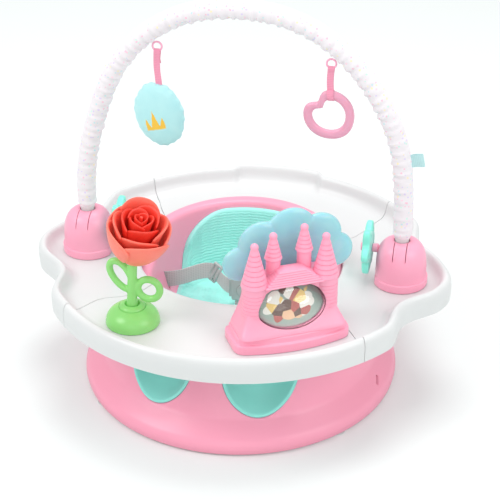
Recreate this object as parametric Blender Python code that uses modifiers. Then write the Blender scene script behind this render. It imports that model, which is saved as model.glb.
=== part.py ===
"""Baby activity seat: a round floor seat with a scalloped four-piece toy tray, an over-head toy bar,
a rose toy, a castle toy and two side spinners.

Metres, +Z up, the child faces -Y. Every piece is built about the centre of the round base, and the
empty that carries them all is set so that the seat stands centred on the origin.
"""

import math

import bmesh
import bpy
import numpy as np
from mathutils import Matrix, Vector

for old in list(bpy.data.objects):
    bpy.data.objects.remove(old, do_unlink=True)

# Clearances and walls
GAP = 0.0003
SHELL_WALL = 0.0035
TRAY_WALL = 0.0030

# Round base and seat bucket
BASE_RADIUS = 0.2262
FOOT_HEIGHT = 0.0030
FOOT_RADIUS = 0.0100
CREASE_RADIUS = 0.1995
CREASE_HEIGHT = 0.0410
LEDGE_HEIGHT = 0.1480
SEAT_RIM_HALF_WIDTH = 0.1385
SEAT_RIM_HALF_DEPTH = 0.1505
SEAT_RIM_HEIGHT = 0.1900
SEAT_RIM_LIP = 0.0170
SEAT_FLOOR_HEIGHT = 0.0795
RIM_DROP_REAR = 0.0300
RIM_DROP_FRONT = -0.0050

# Leg channels
CHANNEL_RADIUS = 0.0450
CHANNEL_OUT_X = 0.0780
CHANNEL_OUT_Y = -0.1860
CHANNEL_OUT_Z = 0.0500
CHANNEL_SPLAY = math.radians(15)
CHANNEL_SLOPE = math.radians(12)
CHANNEL_REACH = 0.1700

# Padding
PAD_THICKNESS = 0.0060
PAD_HALF_WIDTH = 0.0870
PAD_TOP = 0.1790
PAD_FRONT = -0.0320
LEG_PAD_THICKNESS = 0.0050
LEG_PAD_TOP = 0.1150
LEG_PAD_PROUD = 0.0012
LEG_PAD_BACK = -0.0640
LEG_PAD_APART = 0.0015

# Tray
TRAY_RADIUS = 0.2730
TRAY_SET_BACK = 0.0090
RIM_TOP = 0.1760
RIM_FACE = 0.0360
VALLEY_HEIGHT = 0.1580
SIDE_DIP = 0.0080
REAR_DIP = 0.0050
LIP_HEIGHT = 0.1670
LIP_TOP = 0.0050
LIP_SHARE = 0.6737
LIP_MIDDLE = 0.5312
RIM_SLOPE = 0.0300
LOBE_REACH = 0.0185
LOBE_TURN = math.radians(-2)
LOBE_SPAN = math.radians(15.5)
WAIST_DIP = 0.0180
WAIST_TURN = math.radians(21.5)
WAIST_SPAN = math.radians(13)
GRIP_REACH = 0.0080
GRIP_RISE = 0.0020
GRIP_HALF_ANGLE = math.radians(14)
GRIP_EDGE = math.radians(1.6)
OPENING_FRONT_DEPTH = 0.1120
TRAY_CLEARANCE = 0.0010
SEAM_GAP = 0.0005
SKIRT_FRONT = 0.0300
SKIRT_BACK = 0.0550
# The seams' points in plan, as shares of the tray's radius
FRONT_SEAM = ((0.3846, -0.3114), (0.4908, -0.3993), (0.6081, -0.4432),
              (0.6850, -0.5714), (0.7509, -0.6850))
REAR_SEAM = ((0.3846, 0.3663), (0.5128, 0.4505), (0.6154, 0.6740), (0.6593, 0.7473))
CLIP_LENGTH = 0.0300
CLIP_WIDTH = 0.0200
CLIP_THICKNESS = 0.0030

# Toy-bar mounts and side spinners
MOUNT_FROM_RIM = 0.0525
MOUNT_X = TRAY_RADIUS - MOUNT_FROM_RIM
MOUNT_Y = 0.0080
MOUNT_RADIUS = 0.0370
MOUNT_HEIGHT = 0.0735
MOUNT_SKIRT = 0.0120
MOUNT_FLAT = 0.0335
MOUNT_WALL = 0.0030
SOCKET_RADIUS = 0.0098
SOCKET_DEPTH = 0.0440
SLIT_WIDTH = 0.0010
SLIT_DEPTH = 0.0230
TAB_HALF_WIDTH = 0.0085
SPINNER_RADIUS = 0.0365
SPINNER_THICKNESS = 0.0120
SPINNER_PETALS = 6
SPINNER_HEIGHT = 0.0555
SPINNER_STAND_OFF = 0.0060
AXLE_RADIUS = 0.0026
AXLE_CLEARANCE = 0.0004
AXLE_HEAD_RADIUS = 0.0062
AXLE_HEAD = 0.0028

# Toy bar
ARCH_SPRING_HEIGHT = 0.2400
ARCH_RISE = 0.2915
ARCH_POWER = 2.2
CORE_RADIUS = 0.0080
SLEEVE_RADIUS = 0.0135
SLEEVE_WALL = 0.0050
SPIGOT_CLEARANCE = 0.0004
COLLAR_HEIGHT = 0.0040
TAG_HEIGHT = 0.3430
TAG_LENGTH = 0.0200
TAG_WIDTH = 0.0180
TAG_THICKNESS = 0.0016

# Hanging toys
HANG_RING_RADIUS = 0.0062
HANG_WIRE = 0.0013
RING_STAND_OFF = 0.0004
PILLOW_ARCH_X = -0.1265
HEART_ARCH_X = 0.1320
STRAP_WIDTH = 0.0088
STRAP_THICKNESS = 0.0020
EYE_BORE = 0.0021
EYE_RADIUS = 0.0034
EYE_WIDTH = 0.0030
EYE_ROOT = 0.0004
PILLOW_STRAP = 0.0445
PILLOW_HALF_WIDTH = 0.0325
PILLOW_HALF_HEIGHT = 0.0450
PILLOW_HALF_THICKNESS = 0.0125
PILLOW_TILT = math.radians(6)
HEART_STRAP = 0.0285
HEART_OUTER = 0.0335
HEART_BAND = 0.0115
HEART_HALF_DEPTH = 0.0048
HEART_EDGE = 0.0032
HEART_TILT = math.radians(-42)
LOOP_CLEARANCE = 0.0018
LOOP_WIDTH = 0.0050

# Rose toy
ROSE_TURN = math.radians(-31.192)
ROSE_FROM_RIM = 0.0662
ROSE_BASE_RADIUS = 0.0355
ROSE_BASE_HEIGHT = 0.0262
ROSE_COLLAR_RADIUS = 0.0188
ROSE_COLLAR_HEIGHT = 0.0290
ROSE_MOUTH_RADIUS = 0.0105
ROSE_PIVOT_HEIGHT = 0.0140
ROSE_BALL_RADIUS = 0.0085
ROSE_SOCKET_RADIUS = 0.0105
ROSE_TONGUE = 0.0040
ROSE_SLOT = 0.0126
TRUNNION_RADIUS = 0.0018
TRUNNION_REACH = 0.0160
STEM_RADIUS = 0.0050
STEM_TOP = 0.0830
STEM_LEAN = 0.0130
LEAF_WIRE = 0.0048
RING_LEAF_RADIUS = 0.0147
OVAL_LEAF_HALF_LENGTH = 0.0265
OVAL_LEAF_HALF_WIDTH = 0.0095
ROSE_RADIUS = 0.0430
ROSE_DEPTH = 0.0660
ROSE_TILT = math.radians(24)
OUTER_PETAL_WALL = 0.0045
INNER_PETAL_WALL = 0.0040

# Castle toy
CASTLE_TURN = math.radians(29.8)
CASTLE_FROM_RIM = 0.0780
CASTLE_REACH = TRAY_RADIUS - CASTLE_FROM_RIM
CASTLE_HALF_WIDTH = 0.0840
CASTLE_FRONT = 0.0370
CASTLE_BACK = 0.0297
PLINTH_HEIGHT = 0.0200
PLINTH_EDGE = 0.0040
BODY_SHOULDER = 0.0805
OUTER_TOWER_X = 0.0492
OUTER_TOWER_SHIFT = 0.0027
OUTER_TOWER_RADIUS = 0.0165
OUTER_TOWER_HEIGHT = 0.1440
OUTER_CONE_HEIGHT = 0.0600
INNER_TOWER_X = 0.0205
INNER_TOWER_SHIFT = 0.0035
INNER_TOWER_Y = 0.0120
INNER_TOWER_RADIUS = 0.0118
INNER_SHAFT_RADIUS = 0.0093
INNER_TOWER_HEIGHT = 0.1510
INNER_CONE_HEIGHT = 0.0360
TOWER_BALL = 0.0055
ROOF_BASE = 0.0795
ROOF_TOP = 0.1005
ROOF_STEPS = 4
ROLLER_HEIGHT = 0.0510
ROLLER_FORWARD = 0.0030
ROLLER_HALF_LENGTH = 0.0460
ROLLER_RADIUS = 0.0330
ROLLER_WALL = 0.0020
ROLLER_CLEARANCE = 0.0018
ROLLER_AXLE_RADIUS = 0.0025
ROLLER_BEARING = 0.0045
CARD_THICKNESS = 0.0020
CLOUD_HALF_THICKNESS = 0.0095

# Harness
WEB_WIDTH = 0.0250
WEB_THICKNESS = 0.0016
WEB_SLOT = 0.0034
STRAP_Y = 0.0185
STRAP_Z = 0.1120
STRAP_STOP = 0.0045
BUCKLE_WIDTH = 0.0340
BUCKLE_HEIGHT = 0.0360
BUCKLE_THICKNESS = 0.0130
TONGUE_REACH = 0.0100
TONGUE_HEIGHT = 0.0180
TONGUE_THICKNESS = 0.0036
BUTTON_RADIUS = 0.0090
BUTTON_TRAVEL = 0.0020
SLIDER_X = 0.0270
SLIDER_WIDTH = 0.0110

AROUND_SHELL = 40
HEART_STEPS = 36
AROUND_TRAY = 64


def collection(name, drawn):
    """A collection under the scene; guides and cutters go in one that isn't rendered."""
    made = bpy.data.collections.new(name)
    bpy.context.scene.collection.children.link(made)
    made.hide_render = not drawn
    return made


PARTS = collection("activity_seat", True)


def finish(name, hex_colour, roughness, alpha=1.0):
    """A moulded or sewn finish: colour, roughness and, for clear plastic, its alpha."""
    linear = []
    for place in (0, 2, 4):
        value = int(hex_colour[place:place + 2], 16) / 255
        linear.append(value / 12.92 if value <= 0.04045 else ((value + 0.055) / 1.055) ** 2.4)
    made = bpy.data.materials.new(name)
    made.use_nodes = True
    shader = made.node_tree.nodes["Principled BSDF"]
    shader.inputs["Base Color"].default_value = (*linear, 1.0)
    shader.inputs["Roughness"].default_value = roughness
    shader.inputs["Metallic"].default_value = 0.0
    shader.inputs["Alpha"].default_value = alpha
    made.diffuse_color = (*linear, alpha)
    return made


PINK = finish("pink_plastic", "FF9FB8", 0.35)
PALE_PINK = finish("pale_pink_plastic", "FFC4DA", 0.30)
WHITE = finish("white_plastic", "F4F4F4", 0.30)
MINT_PAD = finish("mint_pad", "8FE8D4", 0.60)
MINT = finish("mint_plastic", "90E8CC", 0.35)
GREEN = finish("green_plastic", "93DD78", 0.30)
CORAL = finish("coral_plastic", "FB7565", 0.35)
SKY = finish("sky_clear_plastic", "7CC4DB", 0.15, 0.75)
CLEAR = finish("clear_plastic", "E8F2F0", 0.05, 0.25)
CARD = finish("printed_card", "F2C86A", 0.60)
GREY_WEB = finish("grey_webbing", "A6A4A4", 0.85)
GREY = finish("grey_plastic", "8D9290", 0.45)
RUBBER = finish("rubber", "D9D9D9", 0.80)
SLEEVE_CLOTH = finish("white_cloth", "F6F2F4", 0.90)
AQUA_CLOTH = finish("aqua_cloth", "B8EDEE", 0.90)
PINK_RIBBON = finish("pink_ribbon", "FF8FB0", 0.80)
MINT_RIBBON = finish("mint_ribbon", "CDF1EE", 0.80)
STEEL = finish("steel", "B9BCC0", 0.30)


def add(name, mesh, material, origin=(0, 0, 0), smooth=35):
    """A new part from a mesh, shaded smooth except at its sharp edges, with its origin on its joint."""
    mesh.name = name
    mesh.transform(Matrix.Translation(-Vector(origin)))
    made = bpy.data.objects.new(name, mesh)
    made.location = Vector(origin) + Vector((0, SEAT_Y, 0))
    PARTS.objects.link(made)
    mesh.materials.clear()
    mesh.materials.append(material)
    mesh.shade_smooth()
    mesh.set_sharp_from_angle(angle=math.radians(smooth))
    return made


def from_bmesh(shape):
    """A mesh from a bmesh, with its faces turned outwards."""
    bmesh.ops.recalc_face_normals(shape, faces=shape.faces)
    mesh = bpy.data.meshes.new("shape")
    shape.to_mesh(mesh)
    shape.free()
    return mesh


def loft(rings, wrap=False):
    """A closed skin through equal rings of points, capped at both ends or joined end to end."""
    rings = [[Vector(point) for point in ring] for ring in rings]
    shape = bmesh.new()
    rows = [[shape.verts.new(point) for point in ring] for ring in rings]
    count = len(rows[0])
    pairs = list(zip(rows, rows[1:])) + ([(rows[-1], rows[0])] if wrap else [])
    for low, high in pairs:
        for i in range(count):
            j = (i + 1) % count
            shape.faces.new((low[i], low[j], high[j], high[i]))
    if not wrap:
        shape.faces.new(list(reversed(rows[0])))
        shape.faces.new(rows[-1])
    return from_bmesh(shape)


def box(size, centre, turn=0.0):
    """A box from its three sizes, its centre and a turn about Z."""
    shape = bmesh.new()
    bmesh.ops.create_cube(shape, size=1.0)
    matrix = Matrix.Translation(centre) @ Matrix.Rotation(turn, 4, "Z") @ Matrix.Diagonal((*size, 1.0))
    bmesh.ops.transform(shape, matrix=matrix, verts=shape.verts)
    return from_bmesh(shape)


def rounded_box(size, centre, radius, turn=0.0, segments=2):
    """A box with its edges rounded."""
    shape = bmesh.new()
    bmesh.ops.create_cube(shape, size=1.0)
    bmesh.ops.transform(shape, matrix=Matrix.Diagonal((*size, 1.0)), verts=shape.verts)
    bmesh.ops.bevel(shape, geom=list(shape.edges), offset=radius, segments=segments,
                    affect="EDGES", profile=0.5)
    matrix = Matrix.Translation(centre) @ Matrix.Rotation(turn, 4, "Z")
    bmesh.ops.transform(shape, matrix=matrix, verts=shape.verts)
    return from_bmesh(shape)


def cylinder(radius, start, end, around=16):
    """A round bar from one point to another."""
    start, end = Vector(start), Vector(end)
    along = end - start
    shape = bmesh.new()
    bmesh.ops.create_cone(shape, cap_ends=True, segments=around, radius1=radius, radius2=radius,
                          depth=along.length)
    turn = along.to_track_quat("Z", "Y").to_matrix().to_4x4()
    bmesh.ops.transform(shape, matrix=Matrix.Translation((start + end) / 2) @ turn, verts=shape.verts)
    return from_bmesh(shape)


def ellipsoid(half_sizes, centre, around=16, rings=8):
    """A sphere stretched to three half sizes."""
    shape = bmesh.new()
    bmesh.ops.create_uvsphere(shape, u_segments=around, v_segments=rings, radius=1.0)
    matrix = Matrix.Translation(centre) @ Matrix.Diagonal((*half_sizes, 1.0))
    bmesh.ops.transform(shape, matrix=matrix, verts=shape.verts)
    return from_bmesh(shape)


def evaluated(obj):
    """The mesh of an object with its modifiers applied, in world space."""
    bpy.context.view_layer.update()
    graph = bpy.context.evaluated_depsgraph_get()
    mesh = bpy.data.meshes.new_from_object(obj.evaluated_get(graph))
    mesh.transform(obj.matrix_world)
    return mesh


def turned(profile, steps=32, closed=False, axis="Z", centre=(0, 0, 0)):
    """A turned shape: a profile of (radius, height) points run round an axis by a Screw modifier."""
    edges = [(i, i + 1) for i in range(len(profile) - 1)]
    if closed:
        edges.append((len(profile) - 1, 0))
    mesh = bpy.data.meshes.new("profile")
    mesh.from_pydata([(radius, 0, height) for radius, height in profile], edges, [])
    blank = bpy.data.objects.new("profile", mesh)
    PARTS.objects.link(blank)
    screw = blank.modifiers.new("Screw", "SCREW")
    screw.steps = steps
    screw.render_steps = steps
    screw.use_merge_vertices = True
    screw.merge_threshold = 0.00001
    result = evaluated(blank)
    bpy.data.objects.remove(blank, do_unlink=True)
    turn = {"Z": Matrix.Identity(4), "X": Matrix.Rotation(math.pi / 2, 4, "Y"),
            "Y": Matrix.Rotation(-math.pi / 2, 4, "X"), "-Y": Matrix.Rotation(math.pi / 2, 4, "X")}[axis]
    shape = bmesh.new()
    shape.from_mesh(result)
    bmesh.ops.remove_doubles(shape, verts=shape.verts, dist=0.00001)
    bmesh.ops.transform(shape, matrix=Matrix.Translation(centre) @ turn, verts=shape.verts)
    return from_bmesh(shape)


def outline_solid(points, low, high, plane="XY", corner=0.0, segments=2):
    """A flat outline as a filled 2D curve, thickened between two levels of the third axis."""
    curve = bpy.data.curves.new("outline", "CURVE")
    curve.dimensions = "2D"
    curve.fill_mode = "BOTH"
    curve.extrude = (high - low) / 2
    spline = curve.splines.new("POLY")
    spline.points.add(len(points) - 1)
    for point, (across, up) in zip(spline.points, points):
        point.co = (across, up, 0, 1)
    spline.use_cyclic_u = True
    blank = bpy.data.objects.new("outline", curve)
    PARTS.objects.link(blank)
    result = evaluated(blank)
    bpy.data.objects.remove(blank, do_unlink=True)
    middle = (low + high) / 2
    turn = {"XY": Matrix.Translation((0, 0, middle)),
            "XZ": Matrix.Translation((0, middle, 0)) @ Matrix.Rotation(math.pi / 2, 4, "X")}[plane]
    shape = bmesh.new()
    shape.from_mesh(result)
    bmesh.ops.remove_doubles(shape, verts=shape.verts, dist=0.00001)
    bmesh.ops.transform(shape, matrix=turn, verts=shape.verts)
    if corner:
        flat = [edge for edge in shape.edges if edge.calc_face_angle(0) > math.radians(60)]
        bmesh.ops.bevel(shape, geom=flat, offset=corner, segments=segments, affect="EDGES", profile=0.5)
    return from_bmesh(shape)


def combined(first, second, operation):
    """The exact boolean of two closed meshes: UNION, DIFFERENCE or INTERSECT."""
    base = bpy.data.objects.new("base", first)
    tool = bpy.data.objects.new("tool", second)
    for blank in (base, tool):
        PARTS.objects.link(blank)
    boolean = base.modifiers.new("Boolean", "BOOLEAN")
    boolean.operation = operation
    boolean.object = tool
    boolean.solver = "EXACT"
    result = evaluated(base)
    for blank in (base, tool):
        bpy.data.objects.remove(blank, do_unlink=True)
    return result


def cut(mesh, *tools):
    """A mesh with other meshes taken out of it."""
    for tool in tools:
        mesh = combined(mesh, tool, "DIFFERENCE")
    return mesh


def fused(mesh, *others):
    """A mesh joined with others into one body."""
    for other in others:
        mesh = combined(mesh, other, "UNION")
    return mesh


def common(mesh, tool):
    """What two meshes share."""
    return combined(mesh, tool, "INTERSECT")


def moved(mesh, matrix):
    """A mesh carried to another place."""
    mesh.transform(matrix)
    if matrix.determinant() < 0:
        mesh.flip_normals()
    return mesh


def mirrored(mesh):
    """The same shape on the other side of the seat."""
    return moved(mesh.copy(), Matrix.Diagonal((-1, 1, 1, 1)))


def raised_cosine(value):
    """One at 0, falling smoothly to nothing at 1 on either side."""
    return 0.5 * (1 + math.cos(math.pi * min(abs(value), 1.0)))


def smooth_step(low, high, value):
    """Rises smoothly from 0 at low to 1 at high."""
    share = min(max((value - low) / (high - low), 0.0), 1.0)
    return share * share * (3 - 2 * share)


def side_angle(theta):
    """The angle above the nearer side of the seat, so that both sides follow one rule."""
    return math.atan2(math.sin(theta), abs(math.cos(theta)))


def grip_share(theta):
    """One across the raised grip at the back of the tray."""
    from_back = math.pi / 2 - side_angle(theta)
    return 1 - smooth_step(GRIP_HALF_ANGLE - GRIP_EDGE, GRIP_HALF_ANGLE + GRIP_EDGE, from_back)


def rim_radius(theta):
    """The tray's outer edge about its own centre: a circle, two side lobes between waists, a grip."""
    up = side_angle(theta)
    radius = TRAY_RADIUS + LOBE_REACH * raised_cosine((up - LOBE_TURN) / LOBE_SPAN)
    for side in (-1, 1):
        radius -= WAIST_DIP * raised_cosine((up - side * WAIST_TURN) / WAIST_SPAN)
    return radius + GRIP_REACH * grip_share(theta)


def valley_height(theta):
    """The tray's floor: high in front, lower along the sides where the toy-bar mounts stand."""
    up = math.degrees(side_angle(theta))
    side = smooth_step(-36, -20, up)
    rear = smooth_step(24, 40, up)
    return VALLEY_HEIGHT - SIDE_DIP * side * (1 - rear) - REAR_DIP * rear


def ellipse_radius(theta, half_width, half_depth):
    """The distance from an ellipse's centre to its edge in one direction."""
    return 1 / math.hypot(math.cos(theta) / half_width, math.sin(theta) / half_depth)


def opening_edge(theta):
    """The tray's inner edge about the base centre: round the seat rim behind, closer in front."""
    half_width = SEAT_RIM_HALF_WIDTH + TRAY_CLEARANCE
    half_depth = SEAT_RIM_HALF_DEPTH + TRAY_CLEARANCE if math.sin(theta) > 0 else OPENING_FRONT_DEPTH
    return ellipse_radius(theta, half_width, half_depth)


TRAY_FRONT = TRAY_SET_BACK - TRAY_RADIUS
TRAY_BACK = TRAY_SET_BACK + TRAY_RADIUS + GRIP_REACH
SEAT_Y = -(TRAY_FRONT + TRAY_BACK) / 2


def tray_ring():
    """The whole tray as one closed section carried round: lip, valley, rounded rim and open underside."""
    # The lip's slope ends well before the flat faces of the toy-bar mounts.
    lip_width = LIP_SHARE * (MOUNT_X - MOUNT_FLAT - SEAT_RIM_HALF_WIDTH - TRAY_CLEARANCE)
    rings = []
    for step in range(AROUND_TRAY):
        theta = 2 * math.pi * (step + 0.5) / AROUND_TRAY
        across = Vector((math.cos(theta), math.sin(theta), 0))
        centre = Vector((0, TRAY_SET_BACK, 0))
        outer = rim_radius(theta)
        # The opening is about the base centre, so its radius is found along the tray's own ray.
        inner = opening_edge(theta)
        for _ in range(6):
            point = centre + across * inner
            inner += opening_edge(math.atan2(point.y, point.x)) - point.length
        point_y = (centre + across * inner).y
        top = RIM_TOP + GRIP_RISE * grip_share(theta)
        skirt = LEDGE_HEIGHT + GAP
        skirt += (LIP_HEIGHT - 2 * TRAY_WALL - skirt) * (1 - smooth_step(SKIRT_FRONT, SKIRT_BACK, point_y))
        low = RIM_TOP - RIM_FACE
        valley = valley_height(theta)
        slope_height = valley + 0.4 * (LIP_HEIGHT - valley)
        wall = TRAY_WALL
        section = (
            (inner, skirt),
            (inner, LIP_HEIGHT - 0.0030),
            (inner + 0.0016, LIP_HEIGHT - 0.0007),
            (inner + LIP_TOP, LIP_HEIGHT),
            (inner + LIP_MIDDLE * lip_width, slope_height),
            (inner + lip_width, valley),
            (outer - RIM_SLOPE, valley),
            (outer - 0.0200, valley + 0.25 * (top - valley)),
            (outer - 0.0140, top - 0.0022),
            (outer - 0.0090, top),
            (outer - 0.0035, top - 0.0012),
            (outer - 0.0004, top - 0.0050),
            (outer, top - 0.0120),
            (outer - 0.0010, low),
            (outer - 0.0010 - wall, low),
            (outer - wall, top - 0.0120),
            (outer - wall - 0.0010, top - 0.0060),
            (outer - 0.0090, top - wall),
            (outer - 0.0190 - wall / 2, valley + 0.25 * (top - valley) - wall),
            (outer - RIM_SLOPE, valley - wall),
            (inner + lip_width, valley - wall),
            (inner + LIP_MIDDLE * lip_width - wall / 2, slope_height - wall),
            (inner + LIP_TOP - wall / 4, LIP_HEIGHT - wall),
            (inner + wall, LIP_HEIGHT - wall - 0.0014),
            (inner + wall, skirt),
        )
        rings.append([centre + across * radius + Vector((0, 0, height)) for radius, height in section])
    return loft(rings, wrap=True)


def seam_line(side, points, reach):
    """A seam's line in plan from near the seat's middle out past the rim, on one side of the seat."""
    line = [Vector((side * x, y)) * TRAY_RADIUS for x, y in points]
    outward = (line[-1] - line[-2]).normalized()
    return [line[0] * 0.3] + line + [line[-1] + outward * reach]


def shifted_line(line, distance):
    """A line moved sideways, to its left for a positive distance."""
    result = []
    for i, point in enumerate(line):
        before = line[max(i - 1, 0)]
        after = line[min(i + 1, len(line) - 1)]
        along = (after - before).normalized()
        result.append(point + Vector((-along.y, along.x)) * distance)
    return result


def tray_segment(ring, start, end, far_points):
    """The stretch of the tray between two seam lines, which run outwards; far_points close it outside."""
    outline = shifted_line(start, SEAM_GAP / 2) + far_points
    outline += list(reversed(shifted_line(end, -SEAM_GAP / 2)))
    tool = outline_solid([tuple(point) for point in outline], 0.05, 0.30)
    return common(ring.copy(), tool)


def tray_parts():
    """The four tray pieces, cut from one ring along the seams."""
    ring = tray_ring()
    reach = 0.20
    left_front = seam_line(-1, FRONT_SEAM, reach)
    right_front = seam_line(1, FRONT_SEAM, reach)
    left_rear = seam_line(-1, REAR_SEAM, reach)
    right_rear = seam_line(1, REAR_SEAM, reach)
    front = tray_segment(ring, left_front, right_front, [Vector((-0.30, -0.60)), Vector((0.30, -0.60))])
    right = tray_segment(ring, right_front, right_rear, [Vector((0.60, -0.20)), Vector((0.60, 0.20))])
    rear = tray_segment(ring, right_rear, left_rear, [Vector((0.30, 0.60)), Vector((-0.30, 0.60))])
    left = tray_segment(ring, left_rear, left_front, [Vector((-0.60, 0.20)), Vector((-0.60, -0.20))])
    return front, right, rear, left


def seat_rim_height(theta):
    """The seat rim stands high behind and drops under the tray in front."""
    y = SEAT_RIM_HALF_DEPTH * math.sin(theta)
    low = VALLEY_HEIGHT - TRAY_WALL - GAP
    return low + (SEAT_RIM_HEIGHT - low) * smooth_step(RIM_DROP_FRONT, RIM_DROP_REAR, y)


def shell_profile(theta):
    """The seat shell's skin from the inner edge of its foot ring, up outside and down into the bucket."""
    rim = seat_rim_height(theta)
    width, depth = SEAT_RIM_HALF_WIDTH, SEAT_RIM_HALF_DEPTH
    foot = FOOT_HEIGHT
    return (
        (foot, BASE_RADIUS - 0.0250, BASE_RADIUS - 0.0250),
        (foot, BASE_RADIUS - 0.0022, BASE_RADIUS - 0.0022),
        (foot + 0.0090, BASE_RADIUS, BASE_RADIUS),
        (foot + 0.0185, BASE_RADIUS - 0.0030, BASE_RADIUS - 0.0030),
        (foot + 0.0265, BASE_RADIUS - 0.0130, BASE_RADIUS - 0.0130),
        (CREASE_HEIGHT, CREASE_RADIUS, CREASE_RADIUS),
        (CREASE_HEIGHT + 0.0110, CREASE_RADIUS - 0.0050, CREASE_RADIUS - 0.0050),
        (CREASE_HEIGHT + 0.0500, CREASE_RADIUS - 0.0190, CREASE_RADIUS - 0.0190),
        (LEDGE_HEIGHT - 0.0120, width + 0.0260, depth + 0.0180),
        (LEDGE_HEIGHT, width + 0.0190, depth + 0.0120),
        (LEDGE_HEIGHT, width, depth),
        (rim - 0.0035, width, depth),
        (rim, width - 0.0045, depth - 0.0045),
        (rim - 0.0008, width - SEAT_RIM_LIP + 0.0040, depth - SEAT_RIM_LIP - 0.0010),
        (rim - 0.0060, width - SEAT_RIM_LIP, depth - SEAT_RIM_LIP - 0.0045),
        (SEAT_FLOOR_HEIGHT + 0.0500, width - SEAT_RIM_LIP - 0.0040, depth - SEAT_RIM_LIP - 0.0090),
        (SEAT_FLOOR_HEIGHT + 0.0160, width - SEAT_RIM_LIP - 0.0120, depth - SEAT_RIM_LIP - 0.0180),
        (SEAT_FLOOR_HEIGHT + 0.0030, width - SEAT_RIM_LIP - 0.0260, depth - SEAT_RIM_LIP - 0.0340),
        (SEAT_FLOOR_HEIGHT, 0.0500, 0.0500),
    )


BUCKET_START = 13


def shell_rings(first=0, shrink=0.0, raise_floor=0.0):
    """Rings of the shell's skin about the base centre, from one row of the profile on."""
    rings = []
    angles = [2 * math.pi * i / AROUND_SHELL for i in range(AROUND_SHELL)]
    for row in range(first, len(shell_profile(0))):
        ring = []
        for theta in angles:
            height, width, depth = shell_profile(theta)[row]
            if row > BUCKET_START + 1:
                height += raise_floor
            ring.append(((width - shrink) * math.cos(theta), (depth - shrink) * math.sin(theta), height))
        rings.append(ring)
    return rings


def bucket_volume(shrink):
    """The space inside the seat bucket, drawn in by an even distance, as a solid open to above."""
    rings = shell_rings(BUCKET_START + 1, shrink, shrink)
    top = [(x, y, SEAT_RIM_HEIGHT + 0.02) for x, y, _ in rings[0]]
    return loft([top] + rings)


def body_volume(inset):
    """The shell's outside below its ledge as a solid block, drawn in by an even distance."""
    rings = []
    for ring in shell_rings(0, inset)[1:10]:
        rings.append([(x, y, z - inset if z > LEDGE_HEIGHT - GAP else z) for x, y, z in ring])
    return loft(rings)


def channel(side, radius, beyond=0.0):
    """A leg channel's space: round below and straight above, sloping down and outwards to the front."""
    top = SEAT_RIM_HEIGHT
    section = []
    for step in range(11):
        angle = math.pi + math.pi * step / 10
        section.append((radius * math.cos(angle), radius * math.sin(angle)))
    section += [(radius, top + beyond), (-radius, top + beyond)]
    outward = Vector((side * math.sin(CHANNEL_SPLAY), -math.cos(CHANNEL_SPLAY), 0))
    across = Vector((-outward.y, outward.x, 0))
    slope = math.tan(CHANNEL_SLOPE)
    end = Vector((side * CHANNEL_OUT_X, CHANNEL_OUT_Y, CHANNEL_OUT_Z + CHANNEL_RADIUS))
    rings = []
    for distance in (-0.06 - beyond, CHANNEL_REACH + beyond):
        place = end - outward * distance + Vector((0, 0, slope * distance))
        rings.append([place + across * u + Vector((0, 0, v)) for u, v in section])
    return loft(rings)


def strap_slot(side):
    """A slot through the bucket wall for a waist strap."""
    half = SEAT_RIM_HALF_WIDTH - SEAT_RIM_LIP
    return box((0.030, WEB_SLOT, WEB_WIDTH + 0.004), (side * half, STRAP_Y, STRAP_Z))


def chair_slot(angle):
    """A slanted slot through the base for the strap that ties the seat to a chair."""
    radius = (CREASE_RADIUS + BASE_RADIUS) / 2 - 0.006
    shape = bmesh.new()
    bmesh.ops.create_cube(shape, size=1.0)
    matrix = Matrix.Rotation(angle, 4, "Z") @ Matrix.Translation((radius, 0, CREASE_HEIGHT - 0.005))
    matrix = matrix @ Matrix.Rotation(math.radians(20), 4, "X") @ Matrix.Diagonal((0.024, 0.0050, 0.0130, 1))
    bmesh.ops.transform(shape, matrix=matrix, verts=shape.verts)
    return from_bmesh(shape)


def thickened(rings, wall):
    """An open skin of rings closed at its last ring, given a wall by Solidify."""
    shape = bmesh.new()
    rows = [[shape.verts.new(point) for point in ring] for ring in rings]
    count = len(rows[0])
    for low, high in zip(rows, rows[1:]):
        for i in range(count):
            j = (i + 1) % count
            shape.faces.new((low[i], low[j], high[j], high[i]))
    shape.faces.new(rows[-1])
    mesh = bpy.data.meshes.new("skin")
    shape.to_mesh(mesh)
    shape.free()
    blank = bpy.data.objects.new("skin", mesh)
    PARTS.objects.link(blank)
    solidify = blank.modifiers.new("Solidify", "SOLIDIFY")
    solidify.thickness = wall
    solidify.offset = -1
    solidify.use_even_offset = True
    result = evaluated(blank)
    bpy.data.objects.remove(blank, do_unlink=True)
    return result


def seat_shell():
    """The pink moulding: foot ring, sloping body, ledge, rim and bucket, with two leg channels."""
    mesh = thickened(shell_rings(), SHELL_WALL)
    for side in (-1, 1):
        trough = common(channel(side, CHANNEL_RADIUS + SHELL_WALL), body_volume(SHELL_WALL / 2))
        trough = cut(trough, bucket_volume(-SHELL_WALL / 2))
        mesh = fused(mesh, trough)
    for side in (-1, 1):
        mesh = cut(mesh, channel(side, CHANNEL_RADIUS, 0.01), strap_slot(side))
    for degrees in (-25, 25, 155, 205):
        mesh = cut(mesh, chair_slot(math.radians(degrees)))
    crotch = box((WEB_WIDTH + 0.004, WEB_SLOT, 0.030), (0, STRAP_Y, SEAT_FLOOR_HEIGHT))
    return cut(mesh, crotch)


def foot(turn):
    """A rubber pad under the foot ring."""
    radius = BASE_RADIUS - 0.0145
    profile = ((0, FOOT_HEIGHT - GAP), (FOOT_RADIUS, FOOT_HEIGHT - GAP), (FOOT_RADIUS, 0.0008),
               (FOOT_RADIUS - 0.0010, 0), (0, 0))
    return turned(profile, 16, centre=(radius * math.cos(turn), radius * math.sin(turn), 0))


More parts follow.
